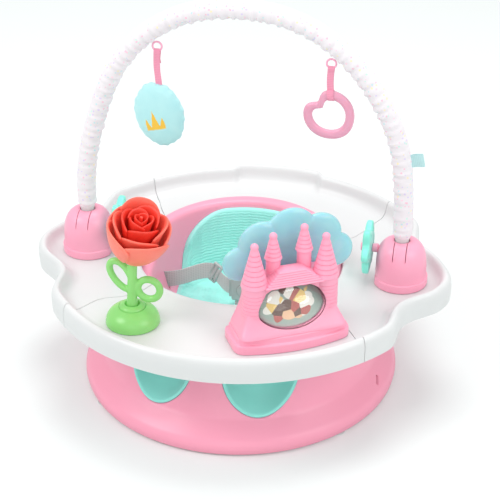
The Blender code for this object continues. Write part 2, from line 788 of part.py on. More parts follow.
def seat_pad():
    """The ribbed back and seat cushion: an even layer on the bucket, trimmed to a round-topped shape."""
    layer = cut(bucket_volume(GAP), bucket_volume(GAP + PAD_THICKNESS))
    corner = 0.045
    outline = [(-PAD_HALF_WIDTH, 0.0), (PAD_HALF_WIDTH, 0.0)]
    for side, start in ((1, 0), (-1, 90)):
        for step in range(7):
            angle = math.radians(start + 15 * step)
            outline.append((side * (PAD_HALF_WIDTH - corner) + corner * math.cos(angle),
                            PAD_TOP - corner + corner * math.sin(angle)))
    prism = outline_solid(outline, PAD_FRONT, 0.30, "XZ")
    layer = common(layer, prism)
    slot = box((WEB_WIDTH + 0.004, WEB_SLOT, 0.040), (0, STRAP_Y, SEAT_FLOOR_HEIGHT))
    return cut(layer, slot)


def leg_pad(side):
    """The soft liner of a leg channel, from the seat's floor to the front opening."""
    liner = cut(channel(side, CHANNEL_RADIUS - GAP),
                channel(side, CHANNEL_RADIUS - GAP - LEG_PAD_THICKNESS, 0.01))
    reach = CHANNEL_OUT_X + 1.4 * CHANNEL_RADIUS
    trim = box((reach - LEG_PAD_APART, BASE_RADIUS, LEG_PAD_TOP),
               (side * (reach + LEG_PAD_APART) / 2, LEG_PAD_BACK - BASE_RADIUS / 2, LEG_PAD_TOP / 2))
    return common(common(liner, trim), body_volume(-LEG_PAD_PROUD))


def clip(side, seam, place):
    """A flat clip under a tray seam, laid across it."""
    start, end = seam[place], seam[place + 1]
    along = Vector((end[0] - start[0], end[1] - start[1], 0)).normalized()
    middle = Vector((start[0] + end[0], start[1] + end[1])) * (TRAY_RADIUS / 2)
    theta = math.atan2(middle[1] - TRAY_SET_BACK, middle[0])
    level = valley_height(theta) - TRAY_WALL - 0.0006 - CLIP_THICKNESS / 2
    turn = math.atan2(along.y, along.x * side)
    return rounded_box((CLIP_WIDTH, CLIP_LENGTH, CLIP_THICKNESS),
                       (side * middle[0], middle[1], level), 0.0008, turn, 1)


def mount_base():
    """The tray floor's level under a toy-bar mount."""
    return valley_height(0) + GAP


def bar_mount(side):
    """A hollow domed mount: a flat face for the spinner, a socket for the bar and a latch tab."""
    base = mount_base()
    radius, height = MOUNT_RADIUS, MOUNT_HEIGHT
    outer = ((0, height), (radius - 0.0210, height), (radius - 0.0100, height - 0.0030),
             (radius - 0.0045, height - 0.0090), (radius - 0.0028, height - 0.0180),
             (radius - 0.0022, MOUNT_SKIRT + 0.0010), (radius, MOUNT_SKIRT), (radius, 0), (0, 0))
    block = turned(outer, 24)
    keep = box((2 * radius, 4 * radius, 3 * height), (radius - MOUNT_FLAT, 0, height / 2))
    block = common(block, keep)
    wall = MOUNT_WALL
    inner = ((0, height - wall), (radius - 0.0220, height - wall), (radius - 0.0115, height - 0.0055),
             (radius - 0.0028 - wall, height - 0.0190), (radius - 0.0022 - wall, 0.004),
             (radius - 0.0022 - wall, -0.010), (0, -0.010))
    hollow = common(turned(inner, 20), box((2 * radius, 4 * radius, 3 * height),
                                           (radius - MOUNT_FLAT + wall, 0, height / 2)))
    block = cut(block, hollow)
    socket = cylinder(SOCKET_RADIUS + 0.0024, (0, 0, height - 0.0010),
                      (0, 0, height - SOCKET_DEPTH - 0.0024), 20)
    boss_end = -(MOUNT_FLAT + SPINNER_STAND_OFF)
    boss = cylinder(0.0056, (boss_end, 0, SPINNER_HEIGHT), (-MOUNT_FLAT + 0.0090, 0, SPINNER_HEIGHT), 16)
    block = fused(block, socket, boss)
    bore = cylinder(SOCKET_RADIUS, (0, 0, height + 0.01), (0, 0, height - SOCKET_DEPTH), 20)
    axle_bore = cylinder(AXLE_RADIUS + GAP, (boss_end - 0.01, 0, SPINNER_HEIGHT),
                         (-MOUNT_FLAT + 0.0080, 0, SPINNER_HEIGHT), 16)
    block = cut(block, bore, axle_bore)
    for edge in (-1, 1):
        slit = box((SLIT_WIDTH, 0.020, SLIT_DEPTH + 0.01),
                   (edge * TAB_HALF_WIDTH + 0.004, -radius, height - SLIT_DEPTH / 2 + 0.001))
        block = cut(block, slit)
    place = Matrix.Translation((MOUNT_X, MOUNT_Y, base))
    block = moved(block, place)
    return mirrored(block) if side < 0 else block


SPINNER_X = MOUNT_X - MOUNT_FLAT - SPINNER_STAND_OFF - GAP - SPINNER_THICKNESS / 2
SPINNER_Z = VALLEY_HEIGHT - SIDE_DIP + GAP + SPINNER_HEIGHT


def spinner(side):
    """A six-petalled disc on a horizontal axle."""
    rings = []
    half = SPINNER_THICKNESS / 2
    for across, scale in ((-half, 0.90), (-half + 0.0025, 1.0), (half - 0.0025, 1.0), (half, 0.90)):
        ring = []
        for step in range(30):
            angle = 2 * math.pi * step / 30
            radius = SPINNER_RADIUS * (0.86 + 0.14 * math.cos(SPINNER_PETALS * angle)) * scale
            ring.append((SPINNER_X + across, MOUNT_Y + radius * math.cos(angle),
                         SPINNER_Z + radius * math.sin(angle)))
        rings.append(ring)
    disc = loft(rings)
    hole = cylinder(AXLE_RADIUS + AXLE_CLEARANCE, (SPINNER_X - 0.02, MOUNT_Y, SPINNER_Z),
                    (SPINNER_X + 0.02, MOUNT_Y, SPINNER_Z), 16)
    disc = cut(disc, hole)
    return mirrored(disc) if side < 0 else disc


def spinner_axle(side):
    """A headed pin through the spinner into the mount's boss."""
    head = SPINNER_X - SPINNER_THICKNESS / 2 - GAP
    reach = MOUNT_X - MOUNT_FLAT + 0.0075 - head
    profile = ((0, 0), (AXLE_HEAD_RADIUS - 0.0010, 0), (AXLE_HEAD_RADIUS, 0.0010),
               (AXLE_HEAD_RADIUS, AXLE_HEAD), (AXLE_RADIUS, AXLE_HEAD), (AXLE_RADIUS, AXLE_HEAD + reach),
               (0, AXLE_HEAD + reach))
    pin = turned(profile, 16, axis="X", centre=(head - AXLE_HEAD, MOUNT_Y, SPINNER_Z))
    return mirrored(pin) if side < 0 else pin


MOUNT_TOP = VALLEY_HEIGHT - SIDE_DIP + GAP + MOUNT_HEIGHT
SLEEVE_END = MOUNT_TOP + 2 * GAP + COLLAR_HEIGHT
ARCH_STEPS = 24


def arch_point(turn):
    """A point of the bar's centreline, at a turn from 0 on the right to pi on the left."""
    x = MOUNT_X * math.copysign(abs(math.cos(turn)) ** (2 / ARCH_POWER), math.cos(turn))
    z = ARCH_SPRING_HEIGHT + ARCH_RISE * math.sin(turn) ** (2 / ARCH_POWER)
    return Vector((x, MOUNT_Y, z))


def arch_at(x):
    """The point of the bar's jointed centreline nearest to a given X, and the way into the arch there."""
    rise = (1 - min(abs(x) / MOUNT_X, 1.0) ** ARCH_POWER) ** (1 / ARCH_POWER)
    guide = Vector((x, MOUNT_Y, ARCH_SPRING_HEIGHT + ARCH_RISE * rise))
    nearest = None
    for step in range(ARCH_STEPS):
        start = arch_point(math.pi * step / ARCH_STEPS)
        along = arch_point(math.pi * (step + 1) / ARCH_STEPS) - start
        share = min(max((guide - start).dot(along) / along.length_squared, 0.0), 1.0)
        spot = start + along * share
        if nearest is None or (spot - guide).length < nearest[0]:
            nearest = ((spot - guide).length, spot, Vector((-along.z, 0, along.x)).normalized())
    return nearest[1], nearest[2]


def bar_path(foot_height):
    """The bar's centreline from one foot over the top to the other."""
    arch = [arch_point(math.pi * step / ARCH_STEPS) for step in range(ARCH_STEPS + 1)]
    right = Vector((MOUNT_X, MOUNT_Y, foot_height))
    left = Vector((-MOUNT_X, MOUNT_Y, foot_height))
    return [right] + arch + [left]


def swept(path, radius, around, inner=0.0):
    """A round bar, or a tube when it has an inner radius, along a path in an upright plane."""
    shape = bmesh.new()
    outer_rows, inner_rows = [], []
    for i, point in enumerate(path):
        along = (path[min(i + 1, len(path) - 1)] - path[max(i - 1, 0)]).normalized()
        normal = Vector((along.z, 0, -along.x))
        for rows, reach in ((outer_rows, radius), (inner_rows, inner)):
            if reach:
                row = []
                for step in range(around):
                    angle = 2 * math.pi * step / around
                    offset = normal * (reach * math.cos(angle)) + Vector((0, reach * math.sin(angle), 0))
                    row.append(shape.verts.new(point + offset))
                rows.append(row)
    for rows in (outer_rows, inner_rows):
        for low, high in zip(rows, rows[1:]):
            for i in range(around):
                j = (i + 1) % around
                shape.faces.new((low[i], low[j], high[j], high[i]))
    for end in (0, -1):
        if inner:
            for i in range(around):
                j = (i + 1) % around
                shape.faces.new((outer_rows[end][i], outer_rows[end][j],
                                 inner_rows[end][j], inner_rows[end][i]))
        else:
            shape.faces.new(outer_rows[end])
    return from_bmesh(shape)


def bar_end(side):
    """A collar on the mount with a spigot down its socket, round the bar's foot."""
    spigot = SOCKET_RADIUS - SPIGOT_CLEARANCE
    inner = CORE_RADIUS + GAP
    bottom = MOUNT_TOP - SOCKET_DEPTH + 0.0020
    top = MOUNT_TOP + GAP + COLLAR_HEIGHT
    profile = ((inner, top), (SLEEVE_RADIUS - 0.0015, top), (SLEEVE_RADIUS - 0.0015, MOUNT_TOP + GAP),
               (spigot, MOUNT_TOP + GAP), (spigot, bottom), (inner, bottom))
    return turned(profile, 24, closed=True, centre=(side * MOUNT_X, MOUNT_Y, 0))


def bar_tag():
    """A small blank cloth tag on the outer side of the right leg."""
    share = (TAG_HEIGHT - ARCH_SPRING_HEIGHT) / ARCH_RISE
    x = MOUNT_X * (1 - share ** ARCH_POWER) ** (1 / ARCH_POWER)
    point, inward = arch_at(x)
    centre = point - inward * (SLEEVE_RADIUS + GAP + TAG_LENGTH / 2)
    shape = bmesh.new()
    bmesh.ops.create_cube(shape, size=1.0)
    turn = Matrix.Rotation(-math.atan2(-inward.z, -inward.x), 4, "Y")
    matrix = Matrix.Translation(centre) @ turn
    matrix = matrix @ Matrix.Diagonal((TAG_LENGTH, TAG_THICKNESS, TAG_WIDTH, 1))
    bmesh.ops.transform(shape, matrix=matrix, verts=shape.verts)
    return from_bmesh(shape)


def ring_loft(centre, axis_one, axis_two, tube, path_count, around, shape_function):
    """A closed tube whose centreline is a flat figure given by a function of the turn."""
    points = []
    for step in range(path_count):
        u, v = shape_function(2 * math.pi * step / path_count)
        points.append(centre + axis_one * u + axis_two * v)
    third = axis_one.cross(axis_two)
    rings = []
    for i, point in enumerate(points):
        along = (points[(i + 1) % path_count] - points[i - 1]).normalized()
        out = along.cross(third).normalized()
        rings.append([point + out * (tube * math.cos(2 * math.pi * k / around))
                      + third * (tube * math.sin(2 * math.pi * k / around)) for k in range(around)])
    return loft(rings, wrap=True)


def hang_ring_centre(arch_x):
    """The centre of a hanging ring, just under the bar's sleeve."""
    point, inward = arch_at(arch_x)
    return point + inward * (SLEEVE_RADIUS + RING_STAND_OFF + HANG_WIRE + HANG_RING_RADIUS)


def hang_pivot(arch_x):
    """The lowest point of a hanging ring's wire, where a strap's eye turns."""
    return hang_ring_centre(arch_x) - Vector((0, 0, HANG_RING_RADIUS))


def hang_ring(arch_x):
    """A small ring sewn to the sleeve."""
    return ring_loft(hang_ring_centre(arch_x), Vector((1, 0, 0)), Vector((0, 0, 1)), HANG_WIRE, 16, 6,
                     lambda turn: (HANG_RING_RADIUS * math.cos(turn), HANG_RING_RADIUS * math.sin(turn)))


def toy_strap(pivot, length, bottom_loop=None):
    """A ribbon with an eye at its top, hanging straight down."""
    eye = turned(((EYE_BORE, -EYE_WIDTH / 2), (EYE_RADIUS, -EYE_WIDTH / 2),
                  (EYE_RADIUS, EYE_WIDTH / 2), (EYE_BORE, EYE_WIDTH / 2)), 16, True, "X", pivot)
    top = -EYE_RADIUS + EYE_ROOT
    length -= 0.0014 if bottom_loop else 0
    ribbon = box((STRAP_WIDTH, STRAP_THICKNESS, length + top),
                 pivot + Vector((0, 0, top - (length + top) / 2)))
    mesh = fused(ribbon, eye)
    if bottom_loop:
        mesh = cut(fused(mesh, bottom_loop[0]), bottom_loop[1])
    return mesh


def pillow(centre):
    """A soft oval pillow with a seam round its edge, slightly tilted."""
    rings = []
    for level in range(1, 12):
        lift = math.pi * level / 12
        ring = []
        for step in range(22):
            angle = 2 * math.pi * step / 22
            edge = 1 + 0.03 * math.cos(7 * angle)
            u = PILLOW_HALF_WIDTH * math.sin(lift) ** 0.72 * edge * math.cos(angle)
            v = PILLOW_HALF_HEIGHT * math.sin(lift) ** 0.72 * edge * math.sin(angle)
            w = PILLOW_HALF_THICKNESS * math.cos(lift)
            ring.append((u, w, v))
        rings.append(ring)
    place = Matrix.Translation(centre) @ Matrix.Rotation(PILLOW_TILT, 4, "Y")
    return moved(loft(rings), place)


def heart_outline(radius, notch, notch_width):
    """A rounded heart as radii about its centre: a notch at the top and a little more reach at the point."""
    points = []
    for step in range(HEART_STEPS):
        turn = 2 * math.pi * step / HEART_STEPS
        from_notch = min(turn, 2 * math.pi - turn)
        reach = radius * (1 - notch * math.exp(-(from_notch / notch_width) ** 2)
                          + 0.07 * math.exp(-((math.pi - from_notch) / 0.55) ** 2))
        points.append((reach * math.sin(turn), reach * math.cos(turn)))
    return points


def heart_outlines():
    """The teether's outer edge and its hole, about one centre."""
    return heart_outline(HEART_OUTER, 0.35, 0.30), heart_outline(HEART_OUTER - HEART_BAND, 0.46, 0.40)


def heart(centre):
    """A teething ring in the shape of a heart: a flat band with rounded edges, tilted to one side."""
    outer, inner = heart_outlines()
    mesh = cut(outline_solid(outer, -HEART_HALF_DEPTH, HEART_HALF_DEPTH, "XZ"),
               outline_solid(inner, -2 * HEART_HALF_DEPTH, 2 * HEART_HALF_DEPTH, "XZ"))
    shape = bmesh.new()
    shape.from_mesh(mesh)
    edges = [edge for edge in shape.edges if edge.calc_face_angle(0) > math.radians(60)
             and abs(edge.verts[0].co.y - edge.verts[1].co.y) < GAP]
    bmesh.ops.bevel(shape, geom=edges, offset=HEART_EDGE, segments=2, affect="EDGES", profile=0.5)
    return moved(from_bmesh(shape), Matrix.Translation(centre) @ Matrix.Rotation(HEART_TILT, 4, "Y"))


def heart_grip():
    """The highest point of the tilted band's middle, about its own centre: its strap holds there."""
    turn = Matrix.Rotation(HEART_TILT, 3, "Y")
    middles = [(Vector((one[0], 0, one[1])) + Vector((two[0], 0, two[1]))) / 2
               for one, two in zip(*heart_outlines())]
    return max((turn @ point for point in middles), key=lambda point: point.z)


def rose_place():
    """The foot of the rose toy on the tray."""
    out = Vector((math.sin(ROSE_TURN), -math.cos(ROSE_TURN), 0)) * (TRAY_RADIUS - ROSE_FROM_RIM)
    return out + Vector((0, TRAY_SET_BACK, VALLEY_HEIGHT + GAP))


def rose_base():
    """A domed base with a round mouth, a ball socket and a cross bore for the ball's pins."""
    radius, height, top = ROSE_BASE_RADIUS, ROSE_BASE_HEIGHT, ROSE_COLLAR_HEIGHT
    profile = [(0, top), (ROSE_COLLAR_RADIUS - 0.0012, top), (ROSE_COLLAR_RADIUS, top - 0.0012),
               (ROSE_COLLAR_RADIUS, height - 0.0010)]
    for step in range(1, 7):
        angle = math.radians(28 + 62 * step / 6)
        profile.append((radius * math.sin(angle), height * math.cos(angle) ** 0.8 + 0.0004))
    profile += [(radius, 0), (0, 0)]
    block = turned(profile, 24)
    pivot = ROSE_PIVOT_HEIGHT
    cavity = ellipsoid((ROSE_SOCKET_RADIUS,) * 3, (0, 0, pivot), 16, 8)
    mouth = turned(((0, top + 0.01), (ROSE_MOUTH_RADIUS, top + 0.01), (ROSE_MOUTH_RADIUS - 0.0020, pivot),
                    (0, pivot)), 20)
    bore = cylinder(TRUNNION_RADIUS + 0.0004, (-TRUNNION_REACH - 0.0010, 0, pivot),
                    (TRUNNION_REACH + 0.0010, 0, pivot), 16)
    block = cut(block, cavity, mouth, bore)
    return moved(block, Matrix.Translation(rose_place()))


def rose_pivot():
    """The centre of the ball that the rose's stem tilts about."""
    return rose_place() + Vector((0, 0, ROSE_PIVOT_HEIGHT))


def rose_ball():
    """A slotted ball on two side pins, with a cross pin for the stem."""
    ball = ellipsoid((ROSE_BALL_RADIUS,) * 3, (0, 0, 0), 16, 8)
    pins = cylinder(TRUNNION_RADIUS, (-TRUNNION_REACH, 0, 0), (TRUNNION_REACH, 0, 0), 14)
    ball = fused(ball, pins)
    # The slot's floor is low enough for the tongue's round end to turn above it.
    slot = box((ROSE_SLOT, ROSE_TONGUE + 0.0008, 0.040), (0, 0, 0.0145))
    ball = cut(ball, slot)
    cross = cylinder(0.0016, (0, -0.0060, 0), (0, 0.0060, 0), 12)
    return moved(fused(ball, cross), Matrix.Translation(rose_pivot()))


def leaf_ring(centre, axis_one, axis_two, half_length, half_width, count):
    """A wire leaf: a closed oval loop."""
    return ring_loft(centre, axis_one, axis_two, LEAF_WIRE, count, 7,
                     lambda turn: (half_length * math.cos(turn), half_width * math.sin(turn)))


def rose_stem():
    """The stem on its tongue, with a round leaf and a long slanted leaf."""
    tongue = cylinder(0.0042, (0, -ROSE_TONGUE / 2, 0), (0, ROSE_TONGUE / 2, 0), 16)
    neck = box((0.0060, ROSE_TONGUE, 0.0120), (0, 0, 0.0068))
    path = []
    for step in range(7):
        share = step / 6
        path.append(Vector((STEM_LEAN * share ** 2, 0, 0.0105 + (STEM_TOP - 0.0075) * share)))
    # The top is cut parallel to the tilted flower's underside.
    above = Matrix.Translation(-rose_pivot()) @ rose_matrix()
    stem = cut(swept(path, STEM_RADIUS, 12), moved(box((0.10, 0.10, 0.06), (0, 0, 0.03 - GAP)), above))
    ring = leaf_ring(Vector((0.0240, 0, 0.0400)), Vector((1, 0, 0)), Vector((0, 0, 1)),
                     RING_LEAF_RADIUS, RING_LEAF_RADIUS, 20)
    lean = Vector((-0.53, 0, 0.848))
    oval = leaf_ring(Vector((0.0005, 0, 0.0350)) + lean * OVAL_LEAF_HALF_LENGTH, lean,
                     Vector((0.848, 0, 0.53)), OVAL_LEAF_HALF_LENGTH, OVAL_LEAF_HALF_WIDTH, 20)
    mesh = fused(stem, neck, tongue, ring, oval)
    mesh = cut(mesh, cylinder(0.0019, (0, -0.01, 0), (0, 0.01, 0), 12))
    return moved(mesh, Matrix.Translation(rose_pivot()))


def petal_cup(radius, height, wall, petals, phase, bottom):
    """A cup of petals: its lobed edge flares outwards and its inside follows at an even wall."""
    rings = []
    levels = ((0.10, 0.0), (0.45, 0.02), (0.78, 0.22), (0.95, 0.55), (1.00, 0.85), (1.03, 1.0))
    for inside in (False, True):
        for share, lift in (reversed(levels) if inside else levels):
            ring = []
            for step in range(25):
                angle = 2 * math.pi * step / 25
                lobe = 1 + 0.10 * lift * math.cos(petals * angle + phase)
                reach = radius * share * lobe
                level = bottom + height * lift * (1 - 0.10 * (1 - math.cos(petals * angle + phase)) * lift)
                if inside:
                    reach = max(reach - wall, 0.0010 + share * 0.004)
                    level = max(level, bottom + wall)
                    level += -0.0006 if lift == 1.0 else 0
                ring.append((reach * math.cos(angle), reach * math.sin(angle), level))
            rings.append(ring)
    return loft(rings)


def rose_matrix():
    """The rose head's place on the top of the stem, tilted to the front and the right."""
    top = rose_pivot() + Vector((STEM_LEAN, 0, STEM_TOP))
    tilt = Matrix.Rotation(ROSE_TILT, 4, Vector((0.75, 0.66, 0)))
    return Matrix.Translation(top + Vector((0.0, 0, 0.0008))) @ tilt


def rose_bud():
    """The closed heart of the rose, standing on the floor of the inner petals."""
    rings = []
    bottom = OUTER_PETAL_WALL + INNER_PETAL_WALL + 2 * GAP
    top = ROSE_DEPTH * 1.16
    for level in range(9):
        share = level / 8
        reach = ROSE_RADIUS * 0.42 * (0.12 + 0.88 * math.sin(math.pi * (0.10 + 0.77 * share)))
        ring = []
        for step in range(24):
            angle = 2 * math.pi * step / 24
            swirl = 1 + 0.07 * math.cos(3 * angle + 2.5 * share)
            ring.append((reach * swirl * math.cos(angle), reach * swirl * math.sin(angle),
                         bottom + (top - bottom) * share))
        rings.append(ring)
    return loft(rings)


def castle_matrix():
    """The castle's place: on the tray's floor near the rim, its front facing outwards."""
    out = Vector((math.sin(CASTLE_TURN), -math.cos(CASTLE_TURN), 0))
    place = Vector((0, TRAY_SET_BACK, VALLEY_HEIGHT + GAP)) + out * CASTLE_REACH
    return Matrix.Translation(place) @ Matrix.Rotation(CASTLE_TURN, 4, "Z")


def roller_cavity():
    """The room that the roller turns in."""
    grow = ROLLER_CLEARANCE
    return ellipsoid((ROLLER_HALF_LENGTH + grow, ROLLER_RADIUS + grow, ROLLER_RADIUS + grow),
                     (0, -ROLLER_FORWARD, ROLLER_HEIGHT), 26, 16)


def castle_plinth():
    """The castle's broad foot, its front edge running parallel to the tray's rim."""
    front_radius = CASTLE_REACH + CASTLE_FRONT
    outline = []
    for step in range(9):
        angle = math.asin(0.786 * CASTLE_HALF_WIDTH / front_radius) * (step - 4) / 4
        outline.append((front_radius * math.sin(angle),
                        CASTLE_REACH - front_radius * math.cos(angle)))
    half = CASTLE_HALF_WIDTH
    outline += [(half - 0.012, -0.0260), (half, -0.0040), (half, CASTLE_BACK - 0.006),
                (half - 0.006, CASTLE_BACK), (0.006 - half, CASTLE_BACK), (-half, CASTLE_BACK - 0.006),
                (-half, -0.0040), (0.012 - half, -0.0260)]
    slab = outline_solid(outline, 0, PLINTH_HEIGHT, "XY")
    shape = bmesh.new()
    shape.from_mesh(slab)
    rim = [edge for edge in shape.edges if all(vert.co.z > PLINTH_HEIGHT - GAP for vert in edge.verts)
           and edge.calc_face_angle(0) > math.radians(60)]
    bmesh.ops.bevel(shape, geom=rim, offset=PLINTH_EDGE, segments=2, affect="EDGES", profile=0.5)
    slab = from_bmesh(shape)
    return moved(cut(slab, roller_cavity()), castle_matrix())


def rectangle(left, right, front, back, height):
    """A level rectangle's four corners."""
    return [(left, -front, height), (right, -front, height), (right, back, height), (left, back, height)]


def tower(x, y, shaft, cone, cone_height, height, bottom, rings):
    """A round tower with a stepped cone roof and a ball on its tip."""
    ball = TOWER_BALL
    neck = height - 2 * ball
    profile = [(0, height), (ball * 0.75, height - ball * 0.35), (ball, height - ball),
               (ball * 0.72, neck)]
    base = height - cone_height
    for step in range(1, rings + 1):
        share = step / rings
        reach = ball * 0.75 + (cone - ball * 0.75) * share
        level = neck + (base - neck) * share
        profile.append((reach, level))
        if step < rings:
            profile.append((reach - 0.0006, level - 0.0006))
    profile += [(shaft, base - 0.0035), (shaft, bottom), (0, bottom)]
    return turned(profile, 12, centre=(x, y, 0))


def castle_body():
    """The castle's front with its window, siding roof and four towers, in one moulding."""
    bottom = PLINTH_HEIGHT + GAP
    shoulder = BODY_SHOULDER
    wide, deep = CASTLE_HALF_WIDTH, CASTLE_FRONT
    block = loft([rectangle(-0.917 * wide, 0.917 * wide, 0.784 * deep, CASTLE_BACK, bottom),
                  rectangle(-0.833 * wide, 0.833 * wide, 0.608 * deep, CASTLE_BACK, 0.522 * shoulder),
                  rectangle(-0.726 * wide, 0.726 * wide, 0.473 * deep, CASTLE_BACK, 0.770 * shoulder),
                  rectangle(-0.571 * wide, 0.595 * wide, 0.405 * deep, CASTLE_BACK, shoulder)])
    rings = []
    for step in range(ROOF_STEPS + 1):
        share = step / ROOF_STEPS
        left, right = wide * (0.268 * share - 0.411), wide * (0.512 - 0.321 * share)
        front, back = deep * (0.486 - 0.270 * share), deep * (0.541 - 0.324 * share)
        level = ROOF_BASE + (ROOF_TOP - ROOF_BASE) * share
        rings.append(rectangle(left, right, front, back, level - 0.0018))
        rings.append(rectangle(left, right, front, back, level))
    mesh = fused(block, loft(rings))
    for side in (-1, 1):
        mesh = fused(mesh, tower(side * OUTER_TOWER_X + OUTER_TOWER_SHIFT, 0, OUTER_TOWER_RADIUS,
                                 OUTER_TOWER_RADIUS + 0.0008, OUTER_CONE_HEIGHT, OUTER_TOWER_HEIGHT,
                                 bottom + 0.0060, 6))
        mesh = fused(mesh, tower(side * INNER_TOWER_X + INNER_TOWER_SHIFT, INNER_TOWER_Y,
                                 INNER_SHAFT_RADIUS, INNER_TOWER_RADIUS, INNER_CONE_HEIGHT,
                                 INNER_TOWER_HEIGHT + side * 0.003, ROOF_BASE - 0.010, 4))
    mesh = cut(mesh, roller_cavity())
    bearing = ROLLER_AXLE_RADIUS + 0.0004
    reach = ROLLER_HALF_LENGTH + ROLLER_BEARING + 0.0010
    mesh = cut(mesh, cylinder(bearing, (-reach, -ROLLER_FORWARD, ROLLER_HEIGHT),
                              (reach, -ROLLER_FORWARD, ROLLER_HEIGHT), 14))
    return moved(mesh, castle_matrix())


def roller_pivot():
    """The middle of the roller's axle."""
    return castle_matrix() @ Vector((0, -ROLLER_FORWARD, ROLLER_HEIGHT))


def roller_bubble():
    """The clear bubble, open round the axle at both ends."""
    hole = ROLLER_AXLE_RADIUS + GAP
    outer, inner = [], []
    for step in range(10):
        angle = math.pi * step / 9
        reach = max(ROLLER_RADIUS * math.sin(angle), 0)
        outer.append((max(reach, hole), ROLLER_HALF_LENGTH * math.cos(angle)))
        reach = max((ROLLER_RADIUS - ROLLER_WALL) * math.sin(angle), 0)
        inner.append((max(reach, hole), (ROLLER_HALF_LENGTH - ROLLER_WALL) * math.cos(angle)))
    bubble = turned(outer + inner[::-1], 18, True, "X")
    return moved(bubble, castle_matrix() @ Matrix.Translation((0, -ROLLER_FORWARD, ROLLER_HEIGHT)))


def roller_card():
    """The axle with an oval card across it, which turns inside the bubble."""
    reach = ROLLER_HALF_LENGTH + ROLLER_BEARING
    rod = cylinder(ROLLER_AXLE_RADIUS, (-reach, 0, 0), (reach, 0, 0), 14)
    card = ellipsoid((ROLLER_HALF_LENGTH - 0.008, 0.02, ROLLER_RADIUS - 0.008), (0, 0, 0), 24, 12)
    card = common(card, box((0.2, CARD_THICKNESS, 0.2), (0, 0, 0)))
    place = castle_matrix() @ Matrix.Translation((0, -ROLLER_FORWARD, ROLLER_HEIGHT))
    return moved(fused(rod, card), place)


def cloud():
    """A puffy five-lobed cloud behind the castle."""
    front = CASTLE_BACK + GAP
    middle = front + CLOUD_HALF_THICKNESS
    wide = CASTLE_HALF_WIDTH
    mesh = rounded_box((1.31 * wide, 2 * CLOUD_HALF_THICKNESS, 0.405 * wide),
                       (0.119 * wide, middle, 1.036 * wide), 0.0060)
    # Each lobe's place across, its height and its radius, as shares of the castle's half width
    lobes = ((-0.619, 1.095, 0.286), (-0.286, 1.429, 0.393), (0.202, 1.548, 0.417), (0.690, 1.405, 0.393),
             (0.905, 1.083, 0.286))
    for lobe in lobes:
        x, height, radius = (share * wide for share in lobe)
        mesh = fused(mesh, ellipsoid((radius, CLOUD_HALF_THICKNESS * 0.98, radius), (x, middle, height), 16, 8))
    return moved(mesh, castle_matrix())


def waist_strap(side):
    """A waist strap from its stop behind the bucket wall to its buckle tongue."""
    inner = BUCKLE_WIDTH / 2 + 0.0035 + GAP
    outer = SEAT_RIM_HALF_WIDTH - SEAT_RIM_LIP + 0.0050
    web = box((outer - inner, WEB_THICKNESS, WEB_WIDTH), (side * (outer + inner) / 2, STRAP_Y, STRAP_Z))
    stop = box((0.0030, STRAP_STOP, WEB_WIDTH), (side * (outer + 0.0010), STRAP_Y, STRAP_Z))
    return fused(web, stop)


def crotch_strap():
    """The strap from below the seat's floor up to the buckle."""
    top = STRAP_Z - BUCKLE_HEIGHT / 2 - GAP
    bottom = SEAT_FLOOR_HEIGHT - SHELL_WALL - 0.0010
    web = box((WEB_WIDTH, WEB_THICKNESS, top - bottom), (0, STRAP_Y, (top + bottom) / 2))
    return fused(web, box((WEB_WIDTH, STRAP_STOP, 0.0030), (0, STRAP_Y, bottom - 0.0010)))


def slider(side):
    """A flat slide that a waist strap passes through."""
    frame = rounded_box((SLIDER_WIDTH, 0.0052, WEB_WIDTH + 0.0060), (side * SLIDER_X, STRAP_Y, STRAP_Z),
                        0.0010, segments=1)
    opening = box((0.040, WEB_THICKNESS + 2 * GAP, WEB_WIDTH + 2 * GAP), (side * SLIDER_X, STRAP_Y, STRAP_Z))
    return cut(frame, opening)


def buckle_housing():
    """The buckle's body with a slot at each side for a tongue and a round well for its button."""
    block = rounded_box((BUCKLE_WIDTH, BUCKLE_THICKNESS, BUCKLE_HEIGHT), (0, STRAP_Y, STRAP_Z), 0.0025)
    for side in (-1, 1):
        block = cut(block, box((2 * TONGUE_REACH + 0.001, TONGUE_THICKNESS + 2 * GAP, TONGUE_HEIGHT + 2 * GAP),
                               (side * BUCKLE_WIDTH / 2, STRAP_Y, STRAP_Z)))
    front = STRAP_Y - BUCKLE_THICKNESS / 2
    well = cylinder(BUTTON_RADIUS + 0.0004, (0, front - 0.01, STRAP_Z), (0, front + 0.0040, STRAP_Z), 20)
    return cut(block, well)


def buckle_button():
    """The round release button, standing a little proud of the buckle."""
    front = STRAP_Y - BUCKLE_THICKNESS / 2
    return turned(((0, 0), (BUTTON_RADIUS, 0), (BUTTON_RADIUS, 0.0022), (BUTTON_RADIUS - 0.0008, 0.0030),
                   (0, 0.0030)), 20, axis="-Y", centre=(0, front + 0.0040 - BUTTON_TRAVEL - GAP, STRAP_Z))


def buckle_tongue(side):
    """A tongue in the buckle, with a shoulder where its strap is sewn on."""
    edge = BUCKLE_WIDTH / 2
    plate = box((TONGUE_REACH + 0.002, TONGUE_THICKNESS, TONGUE_HEIGHT),
                (side * (edge - TONGUE_REACH / 2 + 0.001), STRAP_Y, STRAP_Z))
    shoulder = box((0.0032, 0.0060, WEB_WIDTH + 0.0020), (side * (edge + GAP + 0.0016), STRAP_Y, STRAP_Z))
    return fused(plate, shoulder)


